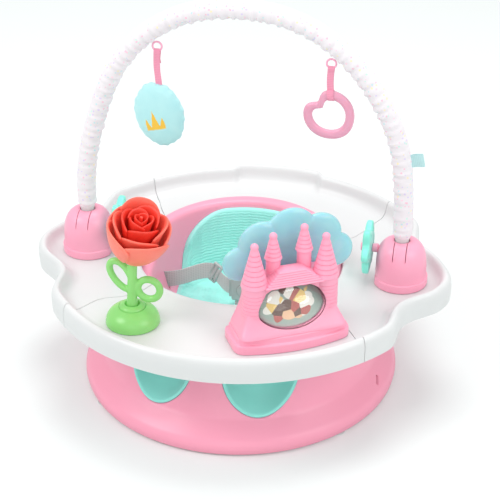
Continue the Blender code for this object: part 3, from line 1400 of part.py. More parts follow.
add("seat_shell", seat_shell(), PINK)
for number, degrees in enumerate((40, 140, 220, 320), 1):
    add(f"foot_{number}", foot(math.radians(degrees)), RUBBER)
add("seat_pad", seat_pad(), MINT_PAD)
front, right, rear, left = tray_parts()
add("front_tray", front, WHITE)
add("side_tray_right", right, WHITE)
add("side_tray_left", left, WHITE)
add("rear_tray", rear, WHITE)
for side, name in ((-1, "left"), (1, "right")):
    add(f"leg_pad_{name}", leg_pad(side), MINT_PAD)
    add(f"waist_strap_{name}", waist_strap(side), GREY_WEB)
    add(f"strap_slider_{name}", slider(side), GREY)
    add(f"buckle_tongue_{name}", buckle_tongue(side), GREY)
    add(f"front_clip_{name}", clip(side, FRONT_SEAM, 2), WHITE)
    add(f"rear_clip_{name}", clip(side, REAR_SEAM, 1), WHITE)
    add(f"bar_mount_{name}", bar_mount(side), PINK)
    add(f"spinner_{name}", spinner(side), MINT, (side * SPINNER_X, MOUNT_Y, SPINNER_Z))
    add(f"spinner_axle_{name}", spinner_axle(side), PINK)
    add(f"bar_end_{name}", bar_end(side), WHITE)
add("crotch_strap", crotch_strap(), GREY_WEB)
add("buckle_housing", buckle_housing(), GREY)
add("buckle_button", buckle_button(), GREY)

add("bar_core", swept(bar_path(MOUNT_TOP - SOCKET_DEPTH + 0.0030), CORE_RADIUS, 8), WHITE)
add("bar_sleeve", swept(bar_path(SLEEVE_END), SLEEVE_RADIUS, 10, SLEEVE_RADIUS - SLEEVE_WALL), SLEEVE_CLOTH)
add("bar_tag", bar_tag(), MINT_RIBBON)

pillow_pivot = hang_pivot(PILLOW_ARCH_X)
heart_pivot = hang_pivot(HEART_ARCH_X)
add("pillow_ring", hang_ring(PILLOW_ARCH_X), PALE_PINK)
add("heart_ring_hanger", hang_ring(HEART_ARCH_X), PALE_PINK)
add("pillow_strap", toy_strap(pillow_pivot, PILLOW_STRAP), PINK_RIBBON, pillow_pivot)
pillow_centre = pillow_pivot + Vector((0.0, 0, -PILLOW_STRAP - PILLOW_HALF_HEIGHT - GAP - 0.0010))
add("pillow", pillow(pillow_centre), AQUA_CLOTH, pillow_pivot)
grip = heart_grip()
grip_place = heart_pivot + Vector((0, 0, -HEART_STRAP - HEART_BAND / 2))
loop_radius = HEART_BAND / 2 + LOOP_CLEARANCE
half = Vector((LOOP_WIDTH / 2, 0, 0))
loop_outer = cylinder(loop_radius + 0.0016, grip_place - half, grip_place + half, 20)
loop_bore = cylinder(loop_radius, grip_place - 2 * half, grip_place + 2 * half, 20)
add("heart_strap", toy_strap(heart_pivot, HEART_STRAP, (loop_outer, loop_bore)), PINK_RIBBON, heart_pivot)
add("heart_ring", heart(grip_place - grip), PALE_PINK, heart_pivot)

add("rose_base", rose_base(), GREEN)
add("rose_ball", rose_ball(), GREEN, rose_pivot())
add("rose_stem", rose_stem(), GREEN, rose_pivot())
head = rose_matrix()
add("rose_petals_outer", moved(petal_cup(ROSE_RADIUS, ROSE_DEPTH * 0.78, OUTER_PETAL_WALL, 5, 0.0, 0.0), head),
    CORAL, rose_pivot())
add("rose_petals_inner", moved(petal_cup(ROSE_RADIUS * 0.72, ROSE_DEPTH * 0.86, INNER_PETAL_WALL, 4, 0.7,
                                         OUTER_PETAL_WALL + GAP), head), CORAL, rose_pivot())
add("rose_bud", moved(rose_bud(), head), CORAL, rose_pivot())

add("castle_plinth", castle_plinth(), PINK)
add("castle_body", castle_body(), PALE_PINK)
add("castle_roller", roller_bubble(), CLEAR, roller_pivot())
add("roller_card", roller_card(), CARD, roller_pivot())
add("castle_cloud", cloud(), SKY)
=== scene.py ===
"""The looks of the baby activity seat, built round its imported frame. Metres, +Z up, the front is -Y."""

import math

import bmesh
import bpy
import numpy as np
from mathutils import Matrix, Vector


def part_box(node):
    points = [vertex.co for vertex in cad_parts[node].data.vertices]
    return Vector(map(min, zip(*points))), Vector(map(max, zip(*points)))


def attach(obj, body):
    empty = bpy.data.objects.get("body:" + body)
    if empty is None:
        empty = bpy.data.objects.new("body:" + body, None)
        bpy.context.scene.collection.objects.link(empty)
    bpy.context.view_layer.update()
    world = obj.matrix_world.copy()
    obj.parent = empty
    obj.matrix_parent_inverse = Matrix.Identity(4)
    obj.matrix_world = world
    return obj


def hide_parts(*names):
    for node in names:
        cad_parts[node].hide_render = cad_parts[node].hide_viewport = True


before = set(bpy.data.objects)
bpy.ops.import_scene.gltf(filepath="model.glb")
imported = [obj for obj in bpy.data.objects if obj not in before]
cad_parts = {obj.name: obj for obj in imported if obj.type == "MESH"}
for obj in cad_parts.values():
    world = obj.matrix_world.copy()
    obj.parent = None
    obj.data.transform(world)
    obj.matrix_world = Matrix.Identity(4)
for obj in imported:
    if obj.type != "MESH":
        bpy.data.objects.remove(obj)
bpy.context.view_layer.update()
bpy.context.scene.view_settings.view_transform = "Standard"

# The camera stands a little to the right of the front and looks down at the seat, as in the photograph.
# A 108 mm lens gives the photograph's 1500 pixels of focal length on a 500-pixel frame.
lens_mm = 108.0
sensor_mm = 36.0
camera_distance = 2.1383
camera_turn = math.radians(12.05)
camera_pitch = math.radians(29.5)
look_at = np.array((-0.0003, 0.0496, 0.1500))


def place_camera():
    """The camera stands at the target plus the distance times the unit vector of the turn and pitch."""
    back = np.array((math.sin(camera_turn) * math.cos(camera_pitch),
                     -math.cos(camera_turn) * math.cos(camera_pitch), math.sin(camera_pitch)))
    data = bpy.data.cameras.new("camera")
    data.lens = lens_mm
    data.sensor_width = sensor_mm
    data.clip_start = 0.05
    camera = bpy.data.objects.new("camera", data)
    bpy.context.scene.collection.objects.link(camera)
    camera.location = look_at + camera_distance * back
    camera.rotation_euler = (math.pi / 2 - camera_pitch, 0, camera_turn)
    bpy.context.scene.camera = camera


place_camera()

# A white studio sweep: a pale floor that keeps the seat's soft shadow, under a bright even sky.
# Four large lamps shape the object: a key from the upper left, fills from the right and front, a top light.
floor_size = 8.0
floor_lift = 0.15
sky_strength = 0.66
lamps = (("key", (-1.8, -1.2, 2.2), 1.5, 29.0), ("fill", (2.0, -0.9, 1.5), 1.5, 15.5),
         ("top", (0.1, 0.5, 2.6), 1.5, 27.5), ("front", (0.3, -2.4, 0.9), 1.4, 4.5))
lamp_target = np.array((0.0, 0.0, 0.15))


def linear(code):
    """The linear colour of an sRGB hex code: c/12.92 below 0.04045, else ((c + 0.055)/1.055)^2.4."""
    parts = np.array([int(code[i:i + 2], 16) for i in (0, 2, 4)]) / 255
    parts = np.where(parts <= 0.04045, parts / 12.92, ((parts + 0.055) / 1.055) ** 2.4)
    return (*parts.tolist(), 1.0)


def node(tree, kind, inputs=None, **settings):
    """A new shader node with its settings; an input is a value, or a (node, output) pair to link."""
    made = tree.nodes.new(kind)
    for key, value in settings.items():
        setattr(made, key, value)
    for key, value in (inputs or {}).items():
        if isinstance(value, tuple) and isinstance(value[0], bpy.types.Node):
            tree.links.new(value[0].outputs[value[1]], made.inputs[key])
        else:
            made.inputs[key].default_value = value
    return made


def new_material(name):
    """An empty node material and its output node."""
    made = bpy.data.materials.new(name)
    made.use_nodes = True
    made.node_tree.nodes.clear()
    return made, made.node_tree, made.node_tree.nodes.new("ShaderNodeOutputMaterial")


def paper_sweep():
    """Matt white paper. The camera sees it a little lifted, so that it reads as white beside its shadow."""
    made, tree, output = new_material("paper_sweep")
    paper = node(tree, "ShaderNodeBsdfDiffuse", {"Color": linear("DFE4E3")})
    glow = node(tree, "ShaderNodeEmission", {"Color": linear("FFFFFF"), "Strength": floor_lift})
    dark = node(tree, "ShaderNodeEmission", {"Strength": 0.0})
    path = node(tree, "ShaderNodeLightPath")
    lift = node(tree, "ShaderNodeMixShader", {0: (path, "Is Camera Ray"), 1: (dark, 0), 2: (glow, 0)})
    both = node(tree, "ShaderNodeAddShader", {0: (paper, 0), 1: (lift, 0)})
    tree.links.new(both.outputs[0], output.inputs["Surface"])
    return made


def studio():
    """The floor, the sky and the four lamps."""
    half = floor_size / 2
    mesh = bpy.data.meshes.new("floor")
    corners = [(-half, -half, 0), (half, -half, 0), (half, half, 0), (-half, half, 0)]
    mesh.from_pydata(corners, [], [(0, 1, 2, 3)])
    mesh.materials.append(paper_sweep())
    floor = bpy.data.objects.new("floor", mesh)
    bpy.context.scene.collection.objects.link(floor)
    world = bpy.data.worlds.new("studio")
    world.use_nodes = True
    tree = world.node_tree
    tree.nodes.clear()
    path = node(tree, "ShaderNodeLightPath")
    even = node(tree, "ShaderNodeBackground", {"Color": linear("FFFFFF"), "Strength": sky_strength})
    white = node(tree, "ShaderNodeBackground", {"Color": linear("FFFFFF"), "Strength": 1.0})
    seen = node(tree, "ShaderNodeMath", {0: (path, "Is Camera Ray"), 1: (path, "Is Transmission Ray")},
                operation="MAXIMUM")
    either = node(tree, "ShaderNodeMixShader", {0: (seen, 0), 1: (even, 0), 2: (white, 0)})
    node(tree, "ShaderNodeOutputWorld", {"Surface": (either, 0)})
    bpy.context.scene.world = world
    for name, place, size, power in lamps:
        data = bpy.data.lights.new(name, "AREA")
        data.shape = "DISK"
        data.size = size
        data.energy = power
        lamp = bpy.data.objects.new(name, data)
        bpy.context.scene.collection.objects.link(lamp)
        lamp.location = place
        toward = lamp_target - np.array(place)
        toward /= np.linalg.norm(toward)
        lamp.rotation_euler = (math.acos(-toward[2]), 0, math.atan2(-toward[0], toward[1]))


studio()

# The seat shell: one blow-moulded pink polypropylene shell with its foot ring, sloping body, ledge, rim
# and bucket. Two leg channels are moulded through its front, and slots take the straps. Four more slots
# lie along the foot ring.
seat_y = -0.013
wall = 0.0035
foot_ring = 0.2262
foot_side = 0.0050
foot_height = 0.0030
ledge_height = 0.1480
rim_half_width = 0.1385
rim_half_depth = 0.1505
rim_height = 0.1930
rim_front_height = 0.1547
rim_lip = 0.0170
seat_floor = 0.0795
channel_radius = 0.0525
channel_mouth = np.array((0.0765, -0.1860, 0.0925))
scoop_depth = 0.0022
scoop_reach = 0.0740
channel_yaw = math.radians(-2.5)
channel_splay = math.radians(15)
channel_slope = math.tan(math.radians(12))
channel_reach = 0.1700
shell_columns = 160
body_radius = 0.19
bucket_radius = 0.12
strap_slot_place = np.array((0.1215, 0.0185, 0.112))
strap_slot_length = 0.029
strap_slot_width = 0.0034
slot_cut = 0.030
base_slot = (0.036, 0.0150, 0.0030)
base_slot_place = np.array((0.2080, 0, 0.0295))
base_slot_bearing = 13.4
base_slot_lean = 18


def smooth_step(low, high, value):
    """3s^2 - 2s^3 of the share of the way from low to high, held at 0 and 1 outside."""
    share = np.clip((value - low) / (high - low), 0, 1)
    return share * share * (3 - 2 * share)


def unit(vectors):
    """Vectors divided by their own length along the last axis."""
    return vectors / (np.linalg.norm(vectors, axis=-1, keepdims=True) + 1e-12)


def soften(lines, radius, steps=4, closed=False):
    """Rounds the corners of polylines that run along axis 0.

    Each corner C becomes the curve (1-t)^2 A + 2t(1-t) C + t^2 B, where A and B lie on its two sides at the
    given radius from it, or at half of a shorter side."""
    lines = np.asarray(lines, float)
    if closed:
        lines = np.concatenate([lines[-1:], lines, lines[:1]])
    before, corner, after = lines[:-2], lines[1:-1], lines[2:]
    flat = (1,) * (lines.ndim - 1)
    reach = np.broadcast_to(np.asarray(radius, float).reshape((-1,) + flat), (len(corner),) + flat)
    back, ahead = before - corner, after - corner
    back_length = np.linalg.norm(back, axis=-1, keepdims=True) + 1e-12
    ahead_length = np.linalg.norm(ahead, axis=-1, keepdims=True) + 1e-12
    start = (corner + back * np.minimum(reach / back_length, 0.49))[:, None]
    end = (corner + ahead * np.minimum(reach / ahead_length, 0.49))[:, None]
    t = np.linspace(0, 1, steps + 1).reshape((1, -1) + flat)
    curve = (1 - t) ** 2 * start + 2 * t * (1 - t) * corner[:, None] + t ** 2 * end
    curve = curve.reshape((-1,) + lines.shape[1:])
    return curve if closed else np.concatenate([lines[:1], curve, lines[-1:]])


def mesh_object(name, points, faces, sharp=38):
    """A smooth-shaded mesh object at the origin; edges sharper than the angle stay crisp."""
    mesh = bpy.data.meshes.new(name)
    mesh.from_pydata(points, [], faces)
    mesh.shade_smooth()
    mesh.set_sharp_from_angle(angle=math.radians(sharp))
    made = bpy.data.objects.new(name, mesh)
    bpy.context.scene.collection.objects.link(made)
    return made


def grid_mesh(name, grid, wrap_rows=False, ends="fan", sharp=38, carry=None):
    """A closed mesh on a grid of points (rows, columns, 3).

    Each row closes on itself, and the last row may close on the first. Otherwise the end rows are closed by
    a fan about their middle, or by a strip between the two halves of the row. If the volume, the sum of
    a.(b x c)/6 over the faces, is negative, the faces are turned outwards. carry holds named vectors, one
    for each grid point."""
    rows, columns = grid.shape[:2]
    index = np.arange(rows * columns).reshape(rows, columns)
    if wrap_rows:
        index = np.concatenate([index, index[:1]])
    index = np.concatenate([index, index[:, :1]], axis=1)
    quads = np.stack([index[:-1, :-1], index[:-1, 1:], index[1:, 1:], index[1:, :-1]], axis=-1).reshape(-1, 4)
    points = grid.reshape(-1, 3)
    fans = np.zeros((0, 3), int)
    layers = {key: value.reshape(-1, 3) for key, value in (carry or {}).items()}
    if not wrap_rows and ends == "fan":
        for row, flip in ((index[0], False), (index[-1], True)):
            a, b = row[:-1], row[1:]
            fan = np.stack([np.full_like(a, len(points)), *((a, b) if flip else (b, a))], axis=-1)
            fans = np.concatenate([fans, fan])
            points = np.concatenate([points, points[row[:columns]].mean(axis=0, keepdims=True)])
            layers = {key: np.concatenate([value, value[row[:columns]].mean(axis=0, keepdims=True)])
                      for key, value in layers.items()}
    if not wrap_rows and ends == "strip":
        k = np.arange(columns // 2 - 1)
        for row, flip in ((index[0], False), (index[-1], True)):
            cap = np.stack([row[k], row[k + 1], row[columns - 2 - k], row[columns - 1 - k]], axis=-1)
            quads = np.concatenate([quads, cap if flip else cap[:, ::-1]])
    four, three = points[quads], points[fans]
    volume = (np.einsum("ij,ij->", four[:, 0], np.cross(four[:, 1], four[:, 2]))
              + np.einsum("ij,ij->", four[:, 0], np.cross(four[:, 2], four[:, 3]))
              + np.einsum("ij,ij->", three[:, 0], np.cross(three[:, 1], three[:, 2])))
    if volume < 0:
        quads, fans = quads[:, ::-1], fans[:, ::-1]
    made = mesh_object(name, points.tolist(), quads.tolist() + fans.tolist(), sharp)
    for key, value in layers.items():
        layer = made.data.attributes.new(key, "FLOAT_VECTOR", "POINT")
        layer.data.foreach_set("vector", value.astype(np.float32).ravel())
    return made


def settle(piece, sharp=None):
    """Applies a piece's modifiers to its mesh, and shades it smooth again if an angle is given."""
    bpy.context.view_layer.update()
    graph = bpy.context.evaluated_depsgraph_get()
    mesh = bpy.data.meshes.new_from_object(piece.evaluated_get(graph))
    piece.modifiers.clear()
    piece.data = mesh
    if sharp:
        mesh.shade_smooth()
        mesh.set_sharp_from_angle(angle=math.radians(sharp))
    return piece


def boolean(piece, tool, operation, sharp=38):
    """Joins, cuts or trims a piece with a tool, which is then removed."""
    modifier = piece.modifiers.new("cut", "BOOLEAN")
    modifier.operation = operation
    modifier.object = tool
    modifier.solver = "EXACT"
    settle(piece, sharp)
    bpy.data.objects.remove(tool, do_unlink=True)
    return piece


def joined(name, pieces, sharp=38):
    """One piece from several closed meshes that may pass into each other."""
    shape = bmesh.new()
    for piece in pieces:
        shape.from_mesh(piece.data)
        bpy.data.objects.remove(piece, do_unlink=True)
    mesh = bpy.data.meshes.new(name)
    shape.to_mesh(mesh)
    shape.free()
    mesh.shade_smooth()
    mesh.set_sharp_from_angle(angle=math.radians(sharp))
    made = bpy.data.objects.new(name, mesh)
    bpy.context.scene.collection.objects.link(made)
    return made


def turn_about(axis, angle):
    """The 3x3 rotation cos(a) I + sin(a) [k]x + (1 - cos(a)) k k^T about a unit axis k."""
    k = unit(np.array(axis, float))
    cross = np.array(((0, -k[2], k[1]), (k[2], 0, -k[0]), (-k[1], k[0], 0)))
    return math.cos(angle) * np.eye(3) + math.sin(angle) * cross + (1 - math.cos(angle)) * np.outer(k, k)


def block(name, size, centre, turn=np.eye(3)):
    """A box from its size, centre and turn."""
    x, y, z = np.array(size) / 2
    corners = np.array([[(-x, -y, -z), (x, -y, -z), (x, y, -z), (-x, y, -z)],
                        [(-x, -y, z), (x, -y, z), (x, y, z), (-x, y, z)]])
    return grid_mesh(name, corners @ turn.T + centre)


def finish_piece(piece, body, slot, material, *nodes):
    """Gives a piece its material and its body, and hides the frame nodes that it stands for. The slot is not
    used.
    """
    piece.data.materials.clear()
    piece.data.materials.append(material)
    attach(piece, body)
    if nodes:
        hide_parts(*nodes)
    return piece


def shade(code, factor):
    """The linear colour of an sRGB hex code times a factor, held at 1."""
    return (*np.clip(np.array(linear(code)[:3]) * factor, 0, 1).tolist(), 1.0)


def moulded_plastic(name, code, roughness, grain_mm=1.6, mottle=0.03, glow=0.0):
    """Moulded plastic: a fine spark-eroded grain breaks the gloss, and the colour drifts a little.

    The real grain of about 0.3 mm is drawn 1.6 mm coarse, so that it shows. glow is the share of light that
    scatters under the surface of a thin soft plastic."""
    made, tree, output = new_material(name)
    place = node(tree, "ShaderNodeTexCoord")
    drift = node(tree, "ShaderNodeTexNoise", {"Vector": (place, "Object"), "Scale": 18.0, "Detail": 2.0})
    tint = node(tree, "ShaderNodeMix", {"Factor": (drift, "Fac"), 6: shade(code, 1 - mottle),
                                        7: shade(code, 1 + mottle)}, data_type="RGBA")
    grain = node(tree, "ShaderNodeTexNoise", {"Vector": (place, "Object"), "Scale": 1000 / grain_mm,
                                              "Detail": 1.0})
    bump = node(tree, "ShaderNodeBump", {"Height": (grain, "Fac"), "Strength": 0.25, "Distance": 0.00005})
    gloss = node(tree, "ShaderNodeMapRange", {"Value": (drift, "Fac"), "To Min": roughness - 0.03,
                                              "To Max": roughness + 0.03})
    shader = node(tree, "ShaderNodeBsdfPrincipled", {
        "Base Color": (tint, 2), "Roughness": (gloss, 0), "Normal": (bump, 0), "IOR": 1.49,
        "Subsurface Weight": glow, "Subsurface Scale": 0.004, "Subsurface Radius": (1.0, 0.5, 0.4)})
    tree.links.new(shader.outputs[0], output.inputs["Surface"])
    return made


pink_plastic = moulded_plastic("pink_polypropylene", "FFA6BF", 0.34, mottle=0.01)


def shell_rows(turn):
    """The skin's rings (a cos t, b sin t, z), from the foot ring up outside and down into the bucket."""
    one = np.ones_like(turn)
    behind = smooth_step(-0.005, 0.030, rim_half_depth * np.sin(turn))
    rim = rim_front_height + (rim_height - rim_front_height) * behind
    w, d, f = rim_half_width, rim_half_depth, foot_ring
    e = f - foot_side
    rows = ((foot_height * one, e - 0.0250, f - 0.0250), (foot_height * one, e - 0.0022, f - 0.0022),
            ((foot_height + 0.0090) * one, e, f), ((foot_height + 0.0185) * one, e - 0.0030, f - 0.0030),
            ((foot_height + 0.0265) * one, e - 0.0130, f - 0.0130), (0.0410 * one, 0.1945, 0.1995),
            (0.0520 * one, 0.1890, 0.1945), (0.0910 * one, 0.1760, 0.1805),
            ((ledge_height - 0.0120) * one, w + 0.0240, d + 0.0180),
            (ledge_height * one, w + 0.0180, d + 0.0120), (ledge_height * one, w, d),
            (rim - 0.0035, w, d), (rim, w - 0.0045, d - 0.0045),
            (rim - 0.0008, w - rim_lip + 0.0040, d - rim_lip - 0.0010),
            (rim - 0.0060, w - rim_lip, d - rim_lip - 0.0045),
            ((seat_floor + 0.0500) * one, w - rim_lip - 0.0040, d - rim_lip - 0.0090),
            ((seat_floor + 0.0160) * one, w - rim_lip - 0.0120, d - rim_lip - 0.0180),
            ((seat_floor + 0.0030) * one, w - rim_lip - 0.0260, d - rim_lip - 0.0340),
            (seat_floor * one, 0.0500, 0.0500), (seat_floor * one, 0.0020, 0.0020))
    return np.array([np.stack([a * np.cos(turn), b * np.sin(turn) + seat_y, z], axis=-1) for z, a, b in rows])


shell_softness = np.array((1.5, 5, 5, 3.5, 4, 4, 3.5, 15, 7, 3, 3, 3, 4, 6, 8, 14, 14, 12)) / 1000
skin = soften(shell_rows(np.linspace(0, 2 * math.pi, shell_columns, endpoint=False)), shell_softness, 5)


def channel_axis(side):
    """A channel's outward direction, the direction across it and its mouth, turned by the channels' yaw."""
    yaw = turn_about((0, 0, 1), channel_yaw)
    out = yaw @ np.array((side * math.sin(channel_splay), -math.cos(channel_splay), 0))
    return out, np.array((-out[1], out[0], 0)), yaw @ (channel_mouth * (side, 1, 1)) + (0, seat_y, 0)


def scooped(rows):
    """Draws the body in round each channel, by D times a smooth step of the distance from its axis."""
    result = rows.copy()
    for side in (-1, 1):
        out, _, mouth = channel_axis(side)
        out, from_mouth = out[:2], rows[..., :2] - mouth[:2]
        across = from_mouth @ np.array((-out[1], out[0]))
        level = rows[..., 2] - channel_mouth[2] + channel_slope * (from_mouth @ out)
        away = np.hypot(across, np.minimum(level, 0))
        draw = scoop_depth * (1 - smooth_step(channel_radius + 0.0050, scoop_reach, away))
        draw = draw * (from_mouth @ out > -0.05) * smooth_step(0.026, 0.040, rows[..., 2])
        result[..., :2] -= draw[..., None] * unit(rows[..., :2] - (0, seat_y))
    return result


ledge_row = int(np.argmax(skin[:, 0, 2] >= ledge_height - 1e-6))
skin[:ledge_row] = scooped(skin[:ledge_row])


def wall_side(rows, thickness):
    """The hidden side of a wall: each row moved square to the profile, with mitred corners.

    A corner moves by thickness (n1 + n2) / (1 + n1.n2), where n1 and n2 are its two sides' normals."""
    flat = rows[..., :2] - (0, seat_y)
    radius = np.linalg.norm(flat, axis=-1)
    along = unit(np.diff(np.stack([radius, rows[..., 2]], axis=-1), axis=0))
    normal = np.stack([-along[..., 1], along[..., 0]], axis=-1)
    one, two = np.concatenate([normal[:1], normal]), np.concatenate([normal, normal[-1:]])
    mitre = (one + two) / np.maximum(1 + np.sum(one * two, axis=-1, keepdims=True), 0.6)
    place = flat * ((radius + thickness * mitre[..., 0]) / radius)[..., None] + (0, seat_y)
    return np.concatenate([place, (rows[..., 2] + thickness * mitre[..., 1])[..., None]], axis=-1)


def channel_prism(name, side, radius, beyond=0.0):
    """A U-shaped prism along a leg channel: a half circle below, straight sides above, rising inwards."""
    out, across, mouth = channel_axis(side)
    angle = np.linspace(math.pi, 2 * math.pi, 41)
    u = np.concatenate([radius * np.cos(angle), [radius, -radius]])
    v = np.concatenate([radius * np.sin(angle), [rim_height + beyond] * 2])
    section = u[:, None] * across + v[:, None] * np.array((0, 0, 1))
    return grid_mesh(name, np.array([mouth - out * reach + (0, 0, channel_slope * reach) + section
                                     for reach in (-0.06 - beyond, channel_reach + beyond)]))


def seat_shell():
    """The skin and its hidden side as one wall, joined with the two troughs and cut by the openings."""
    turn = np.linspace(0, 2 * math.pi, shell_columns, endpoint=False)
    hidden = soften(wall_side(shell_rows(turn), wall), 0.002, 1)
    shell = grid_mesh("seat_shell_moulding", np.concatenate([skin, hidden[::-1]]), wrap_rows=True)
    coarse = shell_rows(np.linspace(0, 2 * math.pi, 80, endpoint=False))
    body = coarse[1:10].copy()
    body[..., :2] = (body[..., :2] - (0, seat_y)) * (1 - wall / 2 / body_radius) + (0, seat_y)
    body[-1, :, 2] -= wall / 2
    body = scooped(body)
    bucket = coarse[14:19].copy()
    bucket[..., :2] = (bucket[..., :2] - (0, seat_y)) * (1 + wall / 2 / bucket_radius) + (0, seat_y)
    bucket[1:, :, 2] -= wall / 2
    bucket = np.concatenate([bucket[:1] * (1, 1, 0) + (0, 0, rim_height + 0.02), bucket])
    for side in (-1, 1):
        trough = channel_prism("trough", side, channel_radius + wall)
        boolean(trough, grid_mesh("body_block", body), "INTERSECT")
        boolean(trough, grid_mesh("bucket_block", bucket), "DIFFERENCE")
        boolean(shell, trough, "UNION")
    for side in (-1, 1):
        boolean(shell, channel_prism("channel", side, channel_radius, 0.01), "DIFFERENCE")
    slots = [block("slot", (slot_cut, strap_slot_width, strap_slot_length),
                   strap_slot_place * (side, 1, 1) + (0, seat_y, 0)) for side in (-1, 1)]
    slots.append(block("slot", (strap_slot_length, strap_slot_width, slot_cut),
                       (0, strap_slot_place[1] + seat_y, seat_floor)))
    for middle, way in ((0, -1), (0, 1), (180, -1), (180, 1)):
        about = turn_about((0, 0, 1), math.radians(middle + way * base_slot_bearing))
        lean = turn_about((1, 0, 0), math.radians(-way * base_slot_lean))
        slots.append(block("slot", base_slot, about @ base_slot_place + (0, seat_y, 0), about @ lean))
    return boolean(shell, joined("slots", slots), "DIFFERENCE", 32)


finish_piece(seat_shell(), "seat", "shell", pink_plastic, "seat_shell")

# Four soft feet under the foot ring keep the seat from sliding. They are moulded thermoplastic rubber,
# pressed into the shell, and are hidden from the front.
rubber = moulded_plastic("pale_rubber", "D2D2D2", 0.72, grain_mm=1.2)


def carried(name, material):
    """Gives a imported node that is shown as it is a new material."""
    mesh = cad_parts[name].data
    mesh.materials.clear()
    mesh.materials.append(material)


for number in range(1, 5):
    carried(f"foot_{number}", rubber)

# The seat pad: a mint EVA foam back and seat cushion, pressed with fine wavy ribs inside a plain border.
# It lies on the bucket's back and floor, and its top corners are round.
pad_thickness = 0.0060
pad_half_width = 0.1000
pad_top = 0.1835
pad_front = -0.0320
pad_corner = 0.0540
pad_gap = 0.0003
rib_pitch = 0.0043
rib_height = 0.0006
rib_wave = 0.0120
rib_weave = 0.0007
pad_edge = 0.0055
border_groove = 0.0005
pad_rows = 480
pad_columns = 84


def resample(lines, count):
    """Points spaced evenly by length along polylines (points, lines, 3) that run along axis 0."""
    step = np.linalg.norm(np.diff(lines, axis=0), axis=-1)
    length = np.concatenate([np.zeros((1, lines.shape[1])), np.cumsum(step, axis=0)])
    share = np.linspace(0, 1, count)
    return np.stack([np.stack([np.interp(share * length[-1, k], length[:, k], lines[:, k, axis])
                               for axis in range(3)], axis=-1) for k in range(lines.shape[1])], axis=1)


def foam(name, code, roughness=0.62):
    """EVA foam: matt and slightly velvety, with fine closed cells that show as a soft pebble."""
    made, tree, output = new_material(name)
    place = node(tree, "ShaderNodeTexCoord")
    drift = node(tree, "ShaderNodeTexNoise", {"Vector": (place, "Object"), "Scale": 30.0, "Detail": 3.0})
    tint = node(tree, "ShaderNodeMix", {"Factor": (drift, "Fac"), 6: shade(code, 0.95), 7: shade(code, 1.05)},
                data_type="RGBA")
    cells = node(tree, "ShaderNodeTexVoronoi", {"Vector": (place, "Object"), "Scale": 1000 / 1.3})
    bump = node(tree, "ShaderNodeBump", {"Height": (cells, "Distance"), "Strength": 0.3, "Distance": 0.0001})
    shader = node(tree, "ShaderNodeBsdfPrincipled", {
        "Base Color": (tint, 2), "Roughness": roughness, "Normal": (bump, 0), "IOR": 1.45,
        "Sheen Weight": 0.15, "Sheen Roughness": 0.5})
    tree.links.new(shader.outputs[0], output.inputs["Surface"])
    return made


mint_foam = foam("mint_eva_foam", "AAF8EE")


def pad_lines():
    """The bucket's surface at each x as a line from the front of the floor up its back.

    On the bucket's ring (a, b, z) the point is (x, b sqrt(1 - (x/a)^2), z), and its mirror image in front."""
    start = int(np.argmax(skin[:, shell_columns // 4, 2])) + 8
    a, b = skin[start:, 0, 0][::-1], (skin[start:, shell_columns // 4, 1] - seat_y)[::-1]
    z = skin[start:, shell_columns // 4, 2][::-1]
    x = np.linspace(-pad_half_width, pad_half_width, pad_columns)
    height = np.maximum(z[:, None], np.interp(np.abs(x), a, z)[None])
    depth = b[:, None] * np.sqrt(np.clip(1 - (x[None] / a[:, None]) ** 2, 0, None))
    across = np.broadcast_to(x[None], depth.shape)
    reach = np.minimum(depth, -pad_front)
    level = np.stack([np.interp(reach[:, k], depth[:, k], height[:, k]) for k in range(pad_columns)], axis=1)
    front = np.stack([across, -reach, level], axis=-1)[::-1]
    corner = np.clip(np.abs(x) - (pad_half_width - pad_corner), 0, None)
    top = pad_top - pad_corner + np.sqrt(pad_corner ** 2 - corner ** 2)
    held = np.minimum(height, top[None])
    depth = np.stack([np.where(height[:, k] > top[k], np.interp(top[k], z, depth[:, k]), depth[:, k])
                      for k in range(pad_columns)], axis=1)
    back = np.stack([across, depth, held], axis=-1)
    lines = resample(np.concatenate([front, back]), pad_rows)
    lines[..., 1] += seat_y
    return x, lines


def seat_pad():
    """A layer on the pad's lines: T sqrt(1 - (1 - d/r)^2) thick at a distance d from its outline.

    Level ribs h cos(2 pi (c + w sin(2 pi x/L))/p) are added, where c is the height on the back and the
    depth on the floor, and a groove inside the border."""
    x, lines = pad_lines()
    step = np.linalg.norm(np.diff(lines, axis=0), axis=-1)
    along = np.concatenate([np.zeros((1, pad_columns)), np.cumsum(step, axis=0)])
    normal = unit(np.cross(np.gradient(lines, axis=1), np.gradient(lines, axis=0)))
    normal *= np.sign(normal[..., 2:3] - normal[..., 1:2] + 1e-9)
    edge = np.minimum(np.minimum(along, along[-1:] - along), pad_half_width - np.abs(x)[None])
    thick = pad_thickness * np.sqrt(1 - (1 - np.clip(edge / pad_edge, 0, 1)) ** 2)
    crest = lines[..., 2] + np.where(lines[..., 1] - seat_y < 0.05, lines[..., 1] - seat_y - 0.05, 0)
    ribs = np.cos(2 * math.pi * (crest + rib_weave * np.sin(2 * math.pi * x / rib_wave)[None]) / rib_pitch)
    mask = smooth_step(0.0035, 0.0050, edge)
    groove = np.exp(-((edge - 0.0032) / 0.0010) ** 2)
    thick = thick - rib_height + rib_height * (ribs * mask + 1 - mask) - border_groove * groove
    upper = lines + normal * (pad_gap + np.maximum(thick, rib_height))[..., None]
    lower = lines + normal * pad_gap
    return grid_mesh("ribbed_seat_pad", np.concatenate([upper, lower[:, ::-1]], axis=1), ends="strip")


finish_piece(seat_pad(), "seat", "seat_pad", mint_foam, "seat_pad")

